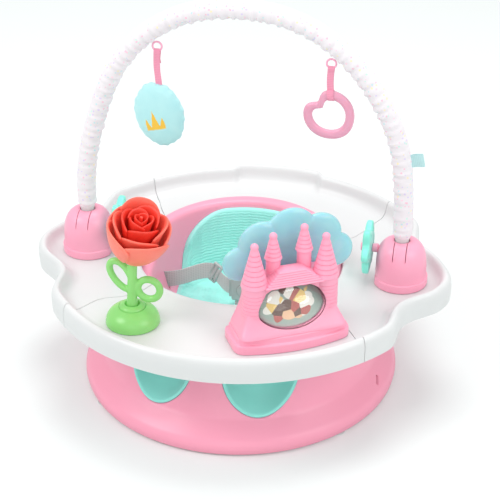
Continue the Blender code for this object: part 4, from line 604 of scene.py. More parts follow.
# The leg pads: two softer teal foam troughs that line the leg channels. Each ends in a rounded lip,
# flush with the shell's front, with a thin dark gap round it.
leg_pad_thickness = 0.0050
leg_pad_top = 0.1150
leg_pad_back = -0.0640
leg_pad_proud = -0.0004
leg_pad_search = (-0.06, 0.10)
teal_foam = foam("teal_eva_foam", "96EEE2", 0.55)


def leg_pad(name, side, node_name):
    """A U section carried along the channel. Its front edge lies where the channel's line meets the body.

    For each point of the section, the distance d along the line is found by halving, as the root of
    (x/a(z))^2 + (y/b(z))^2 = 1, where a and b are the body's half width and half depth at that height."""
    out, across, mouth = channel_axis(side)
    body = skin[:ledge_row]
    level, a, b = body[:, 0, 2], body[:, 0, 0], body[:, shell_columns // 4, 1] - seat_y
    order = np.argsort(level)
    angle = np.linspace(math.pi, 2 * math.pi, 49)
    rise = np.linspace(1, 0, 6)[:-1]
    u = np.concatenate([np.full(5, -1.0), np.cos(angle), np.full(5, 1.0)])
    v = np.concatenate([rise, np.sin(angle), rise[::-1]])
    straight = v > 0

    def at(distance, radius):
        """The section's points at a distance along the channel, with a given radius."""
        axis_level = channel_mouth[2] + channel_slope * distance
        up = np.where(straight, v * np.maximum(leg_pad_top - axis_level, 0.0), v * radius)
        return (mouth - out * distance[..., None] + across * (u * radius)[..., None]
                + (up + channel_slope * distance)[..., None] * np.array((0, 0, 1)))

    def outside(distance, radius):
        """Positive where the point is beyond the body's surface."""
        point = at(distance, radius)
        wide = np.interp(point[..., 2], level[order], a[order]) + leg_pad_proud
        deep = np.interp(point[..., 2], level[order], b[order]) + leg_pad_proud
        return (point[..., 0] / wide) ** 2 + ((point[..., 1] - seat_y) / deep) ** 2 - 1

    outer = channel_radius + leg_pad_proud
    middle = outer - leg_pad_thickness / 2
    low, high = (np.full(len(u), end) for end in leg_pad_search)
    for _ in range(30):
        half = (low + high) / 2
        beyond = outside(half, middle) > 0
        low, high = np.where(beyond, half, low), np.where(beyond, high, half)
    front = (low + high) / 2 + leg_pad_thickness / 2
    back = (leg_pad_back + seat_y - mouth[1] - across[1] * u * middle) / -out[1]
    share = np.linspace(0, 1, 24)[:, None]
    roll = np.linspace(-math.pi / 2, math.pi / 2, 9)[1:-1, None]
    distance = np.concatenate([back + (front - back) * share, front - leg_pad_thickness / 2 * np.cos(roll),
                               front + (back - front) * share])
    inward = np.concatenate([0 * share, (1 + np.sin(roll)) / 2, 0 * share + 1]) * leg_pad_thickness
    rows = np.stack([at(distance[k], outer - inward[k]) for k in range(len(distance))])
    pad = grid_mesh(name, rows.transpose(1, 0, 2), ends="fan")
    finish_piece(pad, "seat", "leg_pads", teal_foam, node_name)


leg_pad("leg_channel_pad_left", -1, "leg_pad_left")
leg_pad("leg_channel_pad_right", 1, "leg_pad_right")

# The tray: white injection-moulded ABS in four pieces, open underneath. A lip rings the seat opening, the
# floor lies lower, and the rolled outer rim swells into two side lobes and a raised grip behind.
tray_radius = 0.2730
tray_set_back = 0.0090
tray_wall = 0.0030
rim_top = 0.1760
rim_face = 0.0335
valley = 0.1580
lip_height = 0.1670
lip_width = 0.0320
rim_slope = 0.0240
seam_gap = 0.0007
lobe_swell = 0.0185
grip_swell = 0.0080
waist_draw = 0.0180
front_seam = ((0.105, -0.085), (0.134, -0.109), (0.166, -0.121), (0.187, -0.156), (0.205, -0.187))
rear_seam = ((0.105, 0.100), (0.140, 0.123), (0.168, 0.184), (0.180, 0.204))
side_points = 68
white_plastic = moulded_plastic("white_abs", "DDDFDF", 0.30, mottle=0.0)


def raised_cosine(value):
    """(1 + cos(pi v))/2 between -1 and 1, and 0 outside."""
    return 0.5 * (1 + np.cos(math.pi * np.minimum(np.abs(value), 1)))


def tray_edge(theta):
    """A circle, plus a raised cosine for each side lobe and a grip behind, less one for each waist."""
    up = np.degrees(np.arctan2(np.sin(theta), np.abs(np.cos(theta))))
    grip = 1 - smooth_step(12.4, 15.6, 90 - up)
    radius = tray_radius + lobe_swell * raised_cosine((up + 2) / 15.5) + grip_swell * grip
    for side in (-1, 1):
        radius = radius - waist_draw * raised_cosine((up - side * 21.5) / 13)
    return radius, up, grip


def tray_opening(theta):
    """The distance from the tray's centre to its opening, an ellipse about the seat's centre."""
    across = np.stack([np.cos(theta), np.sin(theta)], axis=-1)
    inner = np.full(theta.shape, 0.13)
    for _ in range(8):
        spot = across * inner[..., None] + (0, tray_set_back)
        bearing = np.arctan2(spot[..., 1], spot[..., 0])
        deep = np.where(np.sin(bearing) > 0, rim_half_depth + 0.001, 0.112)
        reach = 1 / np.hypot(np.cos(bearing) / (rim_half_width + 0.001), np.sin(bearing) / deep)
        inner = inner + reach - np.linalg.norm(spot, axis=-1)
    return inner


def tray_section(theta):
    """The tray's section at each bearing: a chain over its top and one beneath it, as (radius, height)."""
    outer, up, grip = tray_edge(theta)
    inner = tray_opening(theta)
    top = rim_top + 0.0020 * grip
    rear = smooth_step(24, 40, up)
    floor = valley - 0.0050 * rear
    skirt = ledge_height + 0.0003
    y = tray_set_back + inner * np.sin(theta)
    skirt = skirt + (lip_height - 2 * tray_wall - skirt) * (1 - smooth_step(0.030, 0.055, y))
    low, w = rim_top - rim_face, tray_wall
    slope = floor + 0.4 * (lip_height - floor)
    upper = ((inner, skirt), (inner, lip_height - 0.0030), (inner + 0.0016, lip_height - 0.0007),
             (inner + 0.0050, lip_height), (inner + 0.0170, slope), (inner + lip_width, floor),
             (outer - rim_slope, floor), (outer - 0.0165, floor + 0.25 * (top - floor)),
             (outer - 0.0125, top - 0.0024), (outer - 0.0092, top), (outer - 0.0048, top - 0.0008),
             (outer - 0.0014, top - 0.0052), (outer, top - 0.0140), (outer - 0.0010, low))
    under = ((outer - 0.0010 - w, low), (outer - w, top - 0.0120), (outer - w - 0.0010, top - 0.0060),
             (outer - 0.0088, top - w), (outer - 0.0155 - w / 2, floor + 0.25 * (top - floor) - w),
             (outer - rim_slope, floor - w), (inner + lip_width, floor - w), (inner + 0.0155, slope - w),
             (inner + 0.0043, lip_height - w), (inner + w, lip_height - w - 0.0014), (inner + w, skirt))
    chains = [np.array([np.stack([r + 0 * theta, z + 0 * theta, 0 * theta], axis=-1) for r, z in points])
              for points in (upper, under)]
    return np.concatenate([resample(soften(chains[0], 0.0055, 5), side_points),
                           resample(soften(chains[1], 0.0020, 2), side_points)])[..., :2]


bearings = np.linspace(-math.pi, 3 * math.pi, 1081)
sections = tray_section(bearings)


def seam_bearing(side, seam, radius):
    """The bearing of a seam at a radius from the tray's centre, from its line in plan."""
    line = np.array(seam) * (side, 1)
    line = np.concatenate([line[:1] * 0.3, line, line[-1:] + unit(line[-1:] - line[-2:-1]) * 0.20])
    line = soften(line, 0.012, 5) - (0, tray_set_back)
    return np.interp(radius, np.linalg.norm(line, axis=-1), np.unwrap(np.arctan2(line[:, 1], line[:, 0])))


def tray_piece(name, body, node_name, start, end, count):
    """The section carried from one seam to the next: at each radius the bearing runs from seam to seam.

    The bearing sets the radius and the radius the seam's bearing, so both are found together in six turns."""
    share = np.concatenate([[0.0], np.linspace(0.0008, 0.9992, count), [1.0]])[None]
    first, last = float(seam_bearing(*start, 0.25)), float(seam_bearing(*end, 0.25))
    turns = 2 * math.pi if last < first else 0.0
    theta = first + share * (last + turns - first) + np.zeros((2 * side_points, 1))
    for _ in range(6):
        radius = np.stack([np.interp(row, bearings, section[:, 0]) for row, section in zip(theta, sections)])
        begin = seam_bearing(*start, radius) + seam_gap / 2 / radius
        finish = seam_bearing(*end, radius) + turns - seam_gap / 2 / radius
        theta = begin + share * (finish - begin)
    height = np.stack([np.interp(row, bearings, section[:, 1]) for row, section in zip(theta, sections)])
    height[:side_points, (0, -1)] -= 0.0008
    middle = tray_set_back + seat_y
    points = np.stack([radius * np.cos(theta), radius * np.sin(theta) + middle, height], axis=-1)
    piece = grid_mesh(name, points.transpose(1, 0, 2), ends="strip")
    return finish_piece(piece, body, "tray", white_plastic, node_name)


tray_piece("front_tray_moulding", "front_tray", "front_tray", (-1, front_seam), (1, front_seam), 150)
tray_piece("side_tray_moulding_right", "seat", "side_tray_right", (1, front_seam), (1, rear_seam), 110)
tray_piece("rear_tray_moulding", "seat", "rear_tray", (1, rear_seam), (-1, rear_seam), 150)
tray_piece("side_tray_moulding_left", "seat", "side_tray_left", (-1, rear_seam), (-1, front_seam), 110)
for name in ("front_clip_left", "front_clip_right", "rear_clip_left", "rear_clip_right"):
    carried(name, white_plastic)

# The toy-bar mounts: two pink domes on the side trays, each with a step above its skirt, a latch
# tab between two slits, a socket for the bar and a boss for the spinner's axle.
mount_place = np.array((0.2205, -0.0050, 0.1583))
mount_radius = 0.0370
mount_height = 0.0645
mount_skirt = 0.0110
mount_flat = 0.0335
flat_blend = 0.0007
latch_slit = (0.0010, 0.0310, 0.0200)
latch_half_width = 0.0085
spinner_height = 0.0475
mount_pink = moulded_plastic("pale_pink_polypropylene", "FFACC5", 0.34, mottle=0.01)


def revolved(name, profile, centre=(0, 0, 0), around=64, axis="z", sharp=38):
    """A (radius, height) profile turned about Z, (r cos t, r sin t, h), or about X, (h, r cos t, r sin t)."""
    profile = np.asarray(profile, float)
    turn = np.linspace(0, 2 * math.pi, around, endpoint=False)
    one = profile[:, :1] * np.cos(turn)
    two = profile[:, :1] * np.sin(turn)
    up = profile[:, 1:] + 0 * turn
    order = (one, two, up) if axis == "z" else (up, one, two)
    return grid_mesh(name, np.stack(order, axis=-1) + np.array(centre), sharp=sharp)


def points_of(piece):
    """The points of a piece's mesh, as rows of x, y, z."""
    points = np.empty(len(piece.data.vertices) * 3)
    piece.data.vertices.foreach_get("co", points)
    return points.reshape(-1, 3)


def with_points(piece, points):
    """The piece with its points moved to new places."""
    piece.data.vertices.foreach_set("co", points.ravel())
    piece.data.update()
    return piece


def bar_mount(name, side, node_name):
    """A turned dome whose inner side is drawn flat: x becomes k ln(1 + e^(x/k)) beyond the flat face."""
    h, r = mount_height, mount_radius
    profile = soften(((0.0005, 0), (r - 0.0010, 0), (r, 0.0010), (r, mount_skirt),
                      (r - 0.0020, mount_skirt + 0.0008), (r - 0.0023, h - 0.0340),
                      (r - 0.0038, h - 0.0215), (r - 0.0072, h - 0.0115),
                      (r - 0.0128, h - 0.0046), (r - 0.0195, h - 0.0010), (0.0125, h), (0.0104, h - 0.0008),
                      (0.0102, h - 0.0120), (0.0005, h - 0.0120)),
                     np.array((0.5, 0.8, 0.8, 0.6, 12, 9, 8, 8, 7, 3, 0.6, 1)) / 1000, 5)
    dome = revolved(name, profile, around=128)
    points = points_of(dome)
    points[:, 0] = flat_blend * np.logaddexp(0, (points[:, 0] + mount_flat) / flat_blend) - mount_flat
    with_points(dome, points)
    slits = [block("slit", latch_slit, (edge * latch_half_width, -0.0245, h - 0.0090)) for edge in (-1, 1)]
    boolean(dome, joined("slits", slits), "DIFFERENCE")
    boss = revolved("boss", ((0.0028, -mount_flat - 0.0060), (0.0050, -mount_flat - 0.0060),
                             (0.0056, -mount_flat - 0.0054), (0.0062, -mount_flat + 0.0010),
                             (0.0028, -mount_flat + 0.0040)), (0, 0, spinner_height), 32, "x")
    piece = joined(name, [dome, boss])
    with_points(piece, (points_of(piece) + mount_place) * (side, 1, 1))
    if side < 0:
        piece.data.flip_normals()
    return finish_piece(piece, "seat", "mounts_and_castle", mount_pink, node_name)


bar_mount("domed_mount_left", -1, "bar_mount_left")
bar_mount("domed_mount_right", 1, "bar_mount_right")

# The spinners: two mint six-petalled discs, moulded ABS with a pressed ring and dimples on each face.
# They turn on headed pins that press into the mounts' bosses.
spinner_x = 0.1747
spinner_radius = 0.0365
spinner_half = 0.0060
mint_plastic = moulded_plastic("mint_abs", "8CF6E0", 0.32, glow=0.05)


def signed_power(value, power):
    """The power of a value's size, with its sign: soft squares come from powers of the sine and cosine."""
    return np.sign(value) * np.abs(value) ** power


def spinner(name, side, body, node_name):
    """A lobed disc of radius R (0.86 + 0.14 cos 6t) s and half thickness w; (s, w) round a soft square."""
    run = np.linspace(0.02, math.pi - 0.02, 56)[:, None]
    turn = np.linspace(0, 2 * math.pi, 144, endpoint=False)[None]
    share = np.sin(run) ** 0.42 + 0 * turn
    thick = signed_power(np.cos(run), 0.42) + 0 * turn
    ring = np.exp(-((share - 0.40) / 0.05) ** 2)
    dimple = np.exp(-((share - 0.70) / 0.13) ** 2) * smooth_step(0.2, 1.0, np.cos(6 * turn))
    thick = thick * spinner_half * (1 - 0.22 * ring - 0.30 * dimple)
    reach = spinner_radius * (0.86 + 0.14 * np.cos(6 * turn)) * share
    points = np.stack([side * spinner_x + thick, mount_place[1] + reach * np.cos(turn),
                       mount_place[2] + spinner_height + reach * np.sin(turn)], axis=-1)
    return finish_piece(grid_mesh(name, points), body, "spinners", mint_plastic, node_name)


for side, name in ((-1, "left"), (1, "right")):
    spinner(f"petal_spinner_{name}", side, f"spinner_{name}", f"spinner_{name}")
    carried(f"spinner_axle_{name}", mount_pink)

# The toy bar: a steel-stiffened bar in a padded sleeve of white jersey, printed with pastel confetti. The
# sleeve is gathered along the inside of the arch, and a pale plug at each end goes into a mount's socket.
arch_spring = 0.2400
arch_rise = 0.2915
arch_power = 2.2
sleeve_radius = 0.0131
sleeve_end = 0.2284
sleeve_rows = 560
sleeve_columns = 56
confetti_mm = 5.5
knit_mm = 2.8
wave_step = 2 * math.pi / 20
sleeve_bulge = 0.0040
sleeve_bulge_height = 0.37
plug_shape = ((0.0004, -0.0110), (0.0090, -0.0110), (0.0094, -0.0100), (0.0094, 0.0022), (0.0101, 0.0026),
              (0.0104, 0.0034), (0.0104, 0.0080), (0.0004, 0.0080))


def arch_line(count):
    """The bar's centreline at even steps: |x/a|^p + |(z - h)/b|^p = 1 above the spring, straight below."""
    turn = np.linspace(0, math.pi, 801)
    x = mount_place[0] * signed_power(np.cos(turn), 2 / arch_power)
    z = arch_spring + arch_rise * np.sin(turn) ** (2 / arch_power)
    foot = np.array(((mount_place[0], sleeve_end), (-mount_place[0], sleeve_end)))
    flat = np.concatenate([foot[:1], np.stack([x, z], axis=-1), foot[1:]])
    line = np.stack([flat[:, 0], np.full(len(flat), mount_place[1]), flat[:, 1]], axis=-1)
    return resample(line[:, None], count)[:, 0]


def tube(name, path, radius, around, third, closed=False, carry=False):
    """A round section carried along a flat path: P + n r cos t + b r sin t, with b square to its plane."""
    path = np.asarray(path, float)
    third = np.array(third, float)
    along = np.roll(path, -1, axis=0) - np.roll(path, 1, axis=0) if closed else np.gradient(path, axis=0)
    out = unit(np.cross(along, third))
    turn = np.linspace(0, 2 * math.pi, around, endpoint=False)[None, :, None]
    radius = np.broadcast_to(np.asarray(radius, float), (len(path), around))[..., None]
    grid = path[:, None] + out[:, None] * radius * np.cos(turn) + third * radius * np.sin(turn)
    layers = None
    if carry:
        length = np.concatenate([[0], np.cumsum(np.linalg.norm(np.diff(path, axis=0), axis=-1))])
        layers = {"straight": np.concatenate([length[:, None, None] + 0 * radius, radius * np.cos(turn),
                                              radius * np.sin(turn)], axis=-1)}
    return grid_mesh(name, grid, wrap_rows=closed, carry=layers)


def confetti_jersey():
    """White cotton jersey with a pastel confetti print and a fine knit.

    The knit's 0.5 mm wales are drawn 2.8 mm apart, so that they show. wave_step is what a Wave texture's
    coordinate gains from one band to the next. Print and knit follow the sleeve's straightened
    coordinates."""
    made, tree, output = new_material("printed_cotton_jersey")
    place = node(tree, "ShaderNodeAttribute", attribute_name="straight")
    spots = node(tree, "ShaderNodeTexVoronoi", {"Vector": (place, "Vector"), "Scale": 1000 / confetti_mm})
    wobble = node(tree, "ShaderNodeTexNoise", {"Vector": (place, "Vector"), "Scale": 420.0, "Detail": 1.0})
    reach = node(tree, "ShaderNodeMath", {0: (wobble, "Fac"), 1: 0.36, 2: 0.10}, operation="MULTIPLY_ADD")
    inside = node(tree, "ShaderNodeMath", {0: (reach, 0), 1: (spots, "Distance")}, operation="SUBTRACT")
    mask = node(tree, "ShaderNodeMapRange", {"Value": (inside, 0), "From Min": 0.0, "From Max": 0.07})
    pick = node(tree, "ShaderNodeSeparateColor", {"Color": (spots, "Color")})
    hues = node(tree, "ShaderNodeValToRGB", {"Fac": (pick, 0)})
    ramp = hues.color_ramp
    ramp.interpolation = "CONSTANT"
    for position, code in ((0.0, "F9CADB"), (0.24, "CBE9EE"), (0.44, "E0D4F2"), (0.62, "FBEDBE"),
                           (0.74, "FAD8E5"), (0.88, "D2F0E5")):
        stop = ramp.elements[0] if position == 0 else ramp.elements.new(position)
        stop.position = position
        stop.color = linear(code)
    ramp.elements.remove(ramp.elements[-1])
    cloth = node(tree, "ShaderNodeMix", {"Factor": (mask, 0), 6: linear("EFEAEE"), 7: (hues, 0)},
                 data_type="RGBA")
    knit = node(tree, "ShaderNodeTexWave", {"Vector": (place, "Vector"), "Scale": wave_step * 1000 / knit_mm,
                                            "Distortion": 1.5, "Detail": 1.0, "Detail Scale": 2.0})
    bump = node(tree, "ShaderNodeBump", {"Height": (knit, "Fac"), "Strength": 0.35, "Distance": 0.0002})
    shader = node(tree, "ShaderNodeBsdfPrincipled", {"Base Color": (cloth, 2), "Roughness": 0.92,
                                                     "Normal": (bump, 0), "Sheen Weight": 0.25, "IOR": 1.45})
    tree.links.new(shader.outputs[0], output.inputs["Surface"])
    return made


def bar_sleeve():
    """The sleeve's tube. Its radius ripples by a sum of sines along it, most on the inside of the arch.

    The padding leans to the right part way up both legs, by a bell curve of the height."""
    path = arch_line(sleeve_rows)
    length = np.linalg.norm(np.diff(path, axis=0), axis=-1).sum()
    s = np.linspace(0, length, sleeve_rows)[:, None]
    turn = np.linspace(0, 2 * math.pi, sleeve_columns, endpoint=False)[None]
    inside = (1 + np.cos(turn)) / 2
    drift = 0.9 * np.sin(s / 0.031) + 0.7 * np.sin(s / 0.0173 + 1.7)
    ripple = (0.55 * np.sin(2 * math.pi * s / 0.0135 + drift + 0.5 * np.sin(turn * 2))
              + 0.30 * np.sin(2 * math.pi * s / 0.0082 - 1.6 * drift + turn)
              + 0.25 * np.sin(2 * math.pi * s / 0.021 + 2.2 * np.sin(turn) + drift))
    bend = smooth_step(0.02, 0.10, s) * smooth_step(0.02, 0.10, length - s)
    radius = sleeve_radius + (0.0003 + 0.0014 * inside ** 1.2 * (0.40 + 0.60 * bend)) * ripple
    gather = np.minimum(s, length - s)
    hem = 0.0022 * (1 - smooth_step(0.0, 0.0060, gather))
    stitching = 0.0005 * np.exp(-((gather - 0.009) / 0.002) ** 2)
    radius = radius - hem - stitching
    path = path + np.exp(-((path[:, 2:] - sleeve_bulge_height) / 0.06) ** 2) * (sleeve_bulge, 0, 0)
    return tube("padded_bar_sleeve", path, radius, sleeve_columns, (0, 1, 0), carry=True)


finish_piece(bar_sleeve(), "toy_bar", "bar_sleeve", confetti_jersey(), "bar_sleeve")
carried("bar_core", white_plastic)
for side, name in ((-1, "left"), (1, "right")):
    plug_place = (side * mount_place[0], mount_place[1], mount_place[2] + mount_height)
    plug = revolved(f"bar_plug_{name}", plug_shape, plug_place, 48)
    finish_piece(plug, "toy_bar", "tray", white_plastic, f"bar_end_{name}")

# The tag: a blank loop of pale aqua satin ribbon, folded once and sewn into the sleeve's outer seam on
# the right leg.
tag_height = 0.3370
tag_width = 0.0180
tag_reach = 0.0200
tag_fold = 0.0013


def ribbon(name, path, broad, width, thickness, closed=False, edge_wave=0.0):
    """A flat band P + b (w/2) c(t) + n (h/2) s(t) with a soft rectangular section; b is the broad way."""
    path = np.asarray(path, float)
    broad = unit(np.broadcast_to(np.asarray(broad, float), path.shape))
    along = np.roll(path, -1, axis=0) - np.roll(path, 1, axis=0) if closed else np.gradient(path, axis=0)
    normal = unit(np.cross(along, broad))
    turn = np.linspace(0, 2 * math.pi, 28, endpoint=False)
    c = signed_power(np.cos(turn), 0.35)
    across = (c * width / 2)[None]
    over = (signed_power(np.sin(turn), 0.5) * thickness / 2)[None]
    length = np.concatenate([[0], np.cumsum(np.linalg.norm(np.diff(path, axis=0), axis=-1))])
    wave = edge_wave * np.sin(length / 0.0035)[:, None] * signed_power(c, 3)[None]
    grid = path[:, None] + broad[:, None] * across[..., None] + normal[:, None] * (over + wave)[..., None]
    straight = np.stack(np.broadcast_arrays(length[:, None], across, over), axis=-1)
    return grid_mesh(name, grid, wrap_rows=closed, carry={"straight": straight}, sharp=50)


def woven_band(name, code, pitch_mm, roughness, sheen, depth=0.00018):
    """A woven band: weft ribs run across it and warp threads along it, in the band's own coordinates.

    A ribbon's ribs are drawn 2.4 mm apart and webbing's 3.6 mm, some four times the real spacing, so that
    they show."""
    made, tree, output = new_material(name)
    place = node(tree, "ShaderNodeAttribute", attribute_name="straight")
    scale = wave_step * 1000 / pitch_mm
    weft = node(tree, "ShaderNodeTexWave", {"Vector": (place, "Vector"), "Scale": scale, "Distortion": 0.6},
                bands_direction="X")
    warp = node(tree, "ShaderNodeTexWave", {"Vector": (place, "Vector"), "Scale": scale * 1.3,
                                            "Distortion": 0.4}, bands_direction="Y")
    weave = node(tree, "ShaderNodeMath", {0: (weft, "Fac"), 1: (warp, "Fac")}, operation="MAXIMUM")
    tint = node(tree, "ShaderNodeMix", {"Factor": (weave, 0), 6: shade(code, 0.80), 7: linear(code)},
                data_type="RGBA")
    bump = node(tree, "ShaderNodeBump", {"Height": (weave, 0), "Strength": 0.6, "Distance": depth})
    shader = node(tree, "ShaderNodeBsdfPrincipled", {"Base Color": (tint, 2), "Roughness": roughness,
                                                     "Normal": (bump, 0), "Sheen Weight": sheen, "IOR": 1.5})
    tree.links.new(shader.outputs[0], output.inputs["Surface"])
    return made


aqua_satin = woven_band("aqua_satin_ribbon", "BFE9EA", 2.4, 0.5, 0.3)


def tag_loop():
    """Out from the sleeve, round a fold and back: a hairpin in the plane square to the leg."""
    path = arch_line(2001)
    near = int(np.argmin(np.abs(path[:, 2] - tag_height) + 1.0 * (path[:, 0] < 0)))
    along = unit(path[near + 1] - path[near - 1])
    out = unit(np.cross(along, (0, 1, 0)))
    out = out * np.sign(out[0])
    start = path[near] + out * (sleeve_radius - 0.0015)
    reach = tag_reach - tag_fold + 0.0010
    go = np.linspace(0, reach, 10)
    bend = np.linspace(-math.pi / 2, math.pi / 2, 11)[1:-1]
    u = np.concatenate([go, reach + tag_fold * np.cos(bend), go[::-1]])
    v = np.concatenate([0 * go - tag_fold, tag_fold * np.sin(bend), 0 * go + tag_fold])
    opened = 0.35 + 0.65 * smooth_step(0, 0.010, u)
    v = v * opened + 0.0012 * np.sin(u / 0.0045) * smooth_step(0.004, 0.012, u)
    path = start + u[:, None] * out + v[:, None] * np.array((0, 1, 0))
    return ribbon("blank_ribbon_tag", path, along, tag_width, 0.0007, edge_wave=0.0003)


finish_piece(tag_loop(), "toy_bar", "ribbons", aqua_satin, "bar_tag")

# The left hanging toy: a stuffed oval pillow of aqua plush with a plain yellow motif, hung by a hot pink
# grosgrain ribbon that loops through a small pink ring under the sleeve.
ring_radius = 0.0062
ring_wire = 0.0013
ribbon_width = 0.0088
ribbon_thickness = 0.0009
ribbon_loop = 0.0024
pillow_ribbon = 0.0475
pillow_tail = 0.0190
pillow_half = np.array((0.0340, 0.0130, 0.0465))
pillow_tilt = math.radians(-14)
cloth_frames = 20
print_place = (-0.0040, 0, -0.0050)
print_half = 0.0135
print_pitch = 0.0058
ring_pink = moulded_plastic("pale_pink_abs", "FFB3CF", 0.30)
hot_ribbon = woven_band("hot_pink_grosgrain", "FAA0BC", 2.4, 0.75, 0.25)


def hang_ring(name, node_name):
    """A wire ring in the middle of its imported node's box, in the arch's plane. Returns its lowest point."""
    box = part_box(node_name)
    centre = (np.array(box[0]) + np.array(box[1])) / 2
    turn = np.linspace(0, 2 * math.pi, 48, endpoint=False)
    path = centre + ring_radius * np.stack([np.cos(turn), 0 * turn, np.sin(turn)], axis=-1)
    ring = tube(name, path, ring_wire, 14, (0, 1, 0), closed=True)
    finish_piece(ring, "toy_bar", "ribbons", ring_pink, node_name)
    return centre - (0, 0, ring_radius)


pillow_pivot = hang_ring("pillow_hanger_ring", "pillow_ring")


def hanging_ribbon(name, pivot, drop, tail):
    """Up in front, over the ring's wire in a half circle, and down behind to a short loose tail."""
    up = np.linspace(-drop, 0, 26)
    over = np.linspace(0, math.pi, 12)[1:-1]
    down = np.linspace(0, -tail, 16)
    before = -ribbon_loop * (0.25 + 0.75 * smooth_step(-0.016, 0, up))
    behind = ribbon_loop * (0.30 + 0.70 * smooth_step(-0.016, 0, down))
    behind = behind + 0.0042 * smooth_step(0.5, 1, -down / tail)
    y = np.concatenate([before, -ribbon_loop * np.cos(over), behind])
    z = np.concatenate([up, ribbon_loop * np.sin(over), down])
    path = pivot + np.stack([0.0012 * np.sin(z / 0.012), y, z], axis=-1)
    return ribbon(name, path, (1, 0, 0), ribbon_width, ribbon_thickness, edge_wave=0.0002)


finish_piece(hanging_ribbon("pillow_hanging_ribbon", pillow_pivot, pillow_ribbon, pillow_tail), "pillow_toy",
             "ribbons", hot_ribbon, "pillow_strap")
pillow_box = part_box("pillow")
pillow_centre = (np.array(pillow_box[0]) + np.array(pillow_box[1])) / 2


def plush(centre, tilt):
    """Short-pile aqua plush with a zigzag yellow print, in coordinates centred and turned on the pillow.

    The print's top edge is a zigzag, v = v0 - h |saw(u)| - k |u|, and its band is a rectangle below it."""
    made, tree, output = new_material("aqua_velboa_plush")
    place = node(tree, "ShaderNodeTexCoord")
    local = node(tree, "ShaderNodeMapping", {"Vector": (place, "Object"),
                                             "Location": tuple(-centre - np.array(print_place))})
    turned = node(tree, "ShaderNodeVectorRotate", {"Vector": (local, 0), "Angle": -tilt},
                  rotation_type="Y_AXIS")
    parts = node(tree, "ShaderNodeSeparateXYZ", {"Vector": (turned, 0)})
    blur = node(tree, "ShaderNodeTexNoise", {"Vector": (place, "Object"), "Scale": 260.0, "Detail": 2.0})
    shift = node(tree, "ShaderNodeMath", {0: (blur, "Fac"), 1: 0.0024, 2: -0.0012}, operation="MULTIPLY_ADD")
    u = node(tree, "ShaderNodeMath", {0: (parts, 0), 1: (shift, 0)}, operation="ADD")
    v = node(tree, "ShaderNodeMath", {0: (parts, 2), 1: (shift, 0)}, operation="ADD")
    saw = node(tree, "ShaderNodeMath", {0: (u, 0), 1: print_pitch}, operation="PINGPONG")
    side = node(tree, "ShaderNodeMath", {0: (u, 0)}, operation="ABSOLUTE")
    fall = node(tree, "ShaderNodeMath", {0: (side, 0), 1: -0.95, 2: 0.0150}, operation="MULTIPLY_ADD")
    top = node(tree, "ShaderNodeMath", {0: (saw, 0), 1: -3.1, 2: (fall, 0)}, operation="MULTIPLY_ADD")
    under = node(tree, "ShaderNodeMath", {0: (top, 0), 1: (v, 0)}, operation="SUBTRACT")
    above = node(tree, "ShaderNodeMath", {0: (v, 0), 1: print_half}, operation="ADD")
    across = node(tree, "ShaderNodeMath", {0: print_half, 1: (side, 0)}, operation="SUBTRACT")
    least = node(tree, "ShaderNodeMath", {0: (under, 0), 1: (above, 0)}, operation="MINIMUM")
    least = node(tree, "ShaderNodeMath", {0: (least, 0), 1: (across, 0)}, operation="MINIMUM")
    mask = node(tree, "ShaderNodeMapRange", {"Value": (least, 0), "From Min": -0.0004, "From Max": 0.0010})
    drift = node(tree, "ShaderNodeTexNoise", {"Vector": (place, "Object"), "Scale": 60.0, "Detail": 3.0})
    ground = node(tree, "ShaderNodeMix", {"Factor": (drift, "Fac"), 6: linear("ACE6EA"), 7: linear("C4F2F3")},
                  data_type="RGBA")
    colour = node(tree, "ShaderNodeMix", {"Factor": (mask, 0), 6: (ground, 2), 7: linear("F8C743")},
                  data_type="RGBA")
    pile = node(tree, "ShaderNodeTexNoise", {"Vector": (place, "Object"), "Scale": 900.0, "Detail": 2.0})
    bump = node(tree, "ShaderNodeBump", {"Height": (pile, "Fac"), "Strength": 0.5, "Distance": 0.0004})
    shader = node(tree, "ShaderNodeBsdfPrincipled", {
        "Base Color": (colour, 2), "Roughness": 0.95, "IOR": 1.45, "Normal": (bump, 0), "Sheen Weight": 0.5})
    tree.links.new(shader.outputs[0], output.inputs["Surface"])
    return made


def inflate(piece, voxel, pressure, cap):
    """Weightless cloth under pressure, on an even remesh of the piece; no point moves past the cap."""
    remesh = piece.modifiers.new("remesh", "REMESH")
    remesh.mode = "VOXEL"
    remesh.voxel_size = voxel
    settle(piece)
    before = points_of(piece)
    cloth = piece.modifiers.new("cloth", "CLOTH")
    cloth.settings.use_pressure = True
    cloth.settings.uniform_pressure_force = pressure
    cloth.settings.effector_weights.gravity = 0
    cloth.settings.quality = 5
    cloth.point_cache.frame_start = 1
    cloth.point_cache.frame_end = cloth_frames
    for number in range(1, cloth_frames + 1):
        bpy.context.scene.frame_set(number)
    settle(piece)
    bpy.context.scene.frame_set(1)
    move = points_of(piece) - before
    far = np.linalg.norm(move, axis=1, keepdims=True)
    move *= np.minimum(1, cap / np.maximum(far, 1e-9))
    with_points(piece, before + move)
    smooth = piece.modifiers.new("subdivision", "SUBSURF")
    smooth.levels = 1
    smooth.render_levels = 1
    return settle(piece, 180)


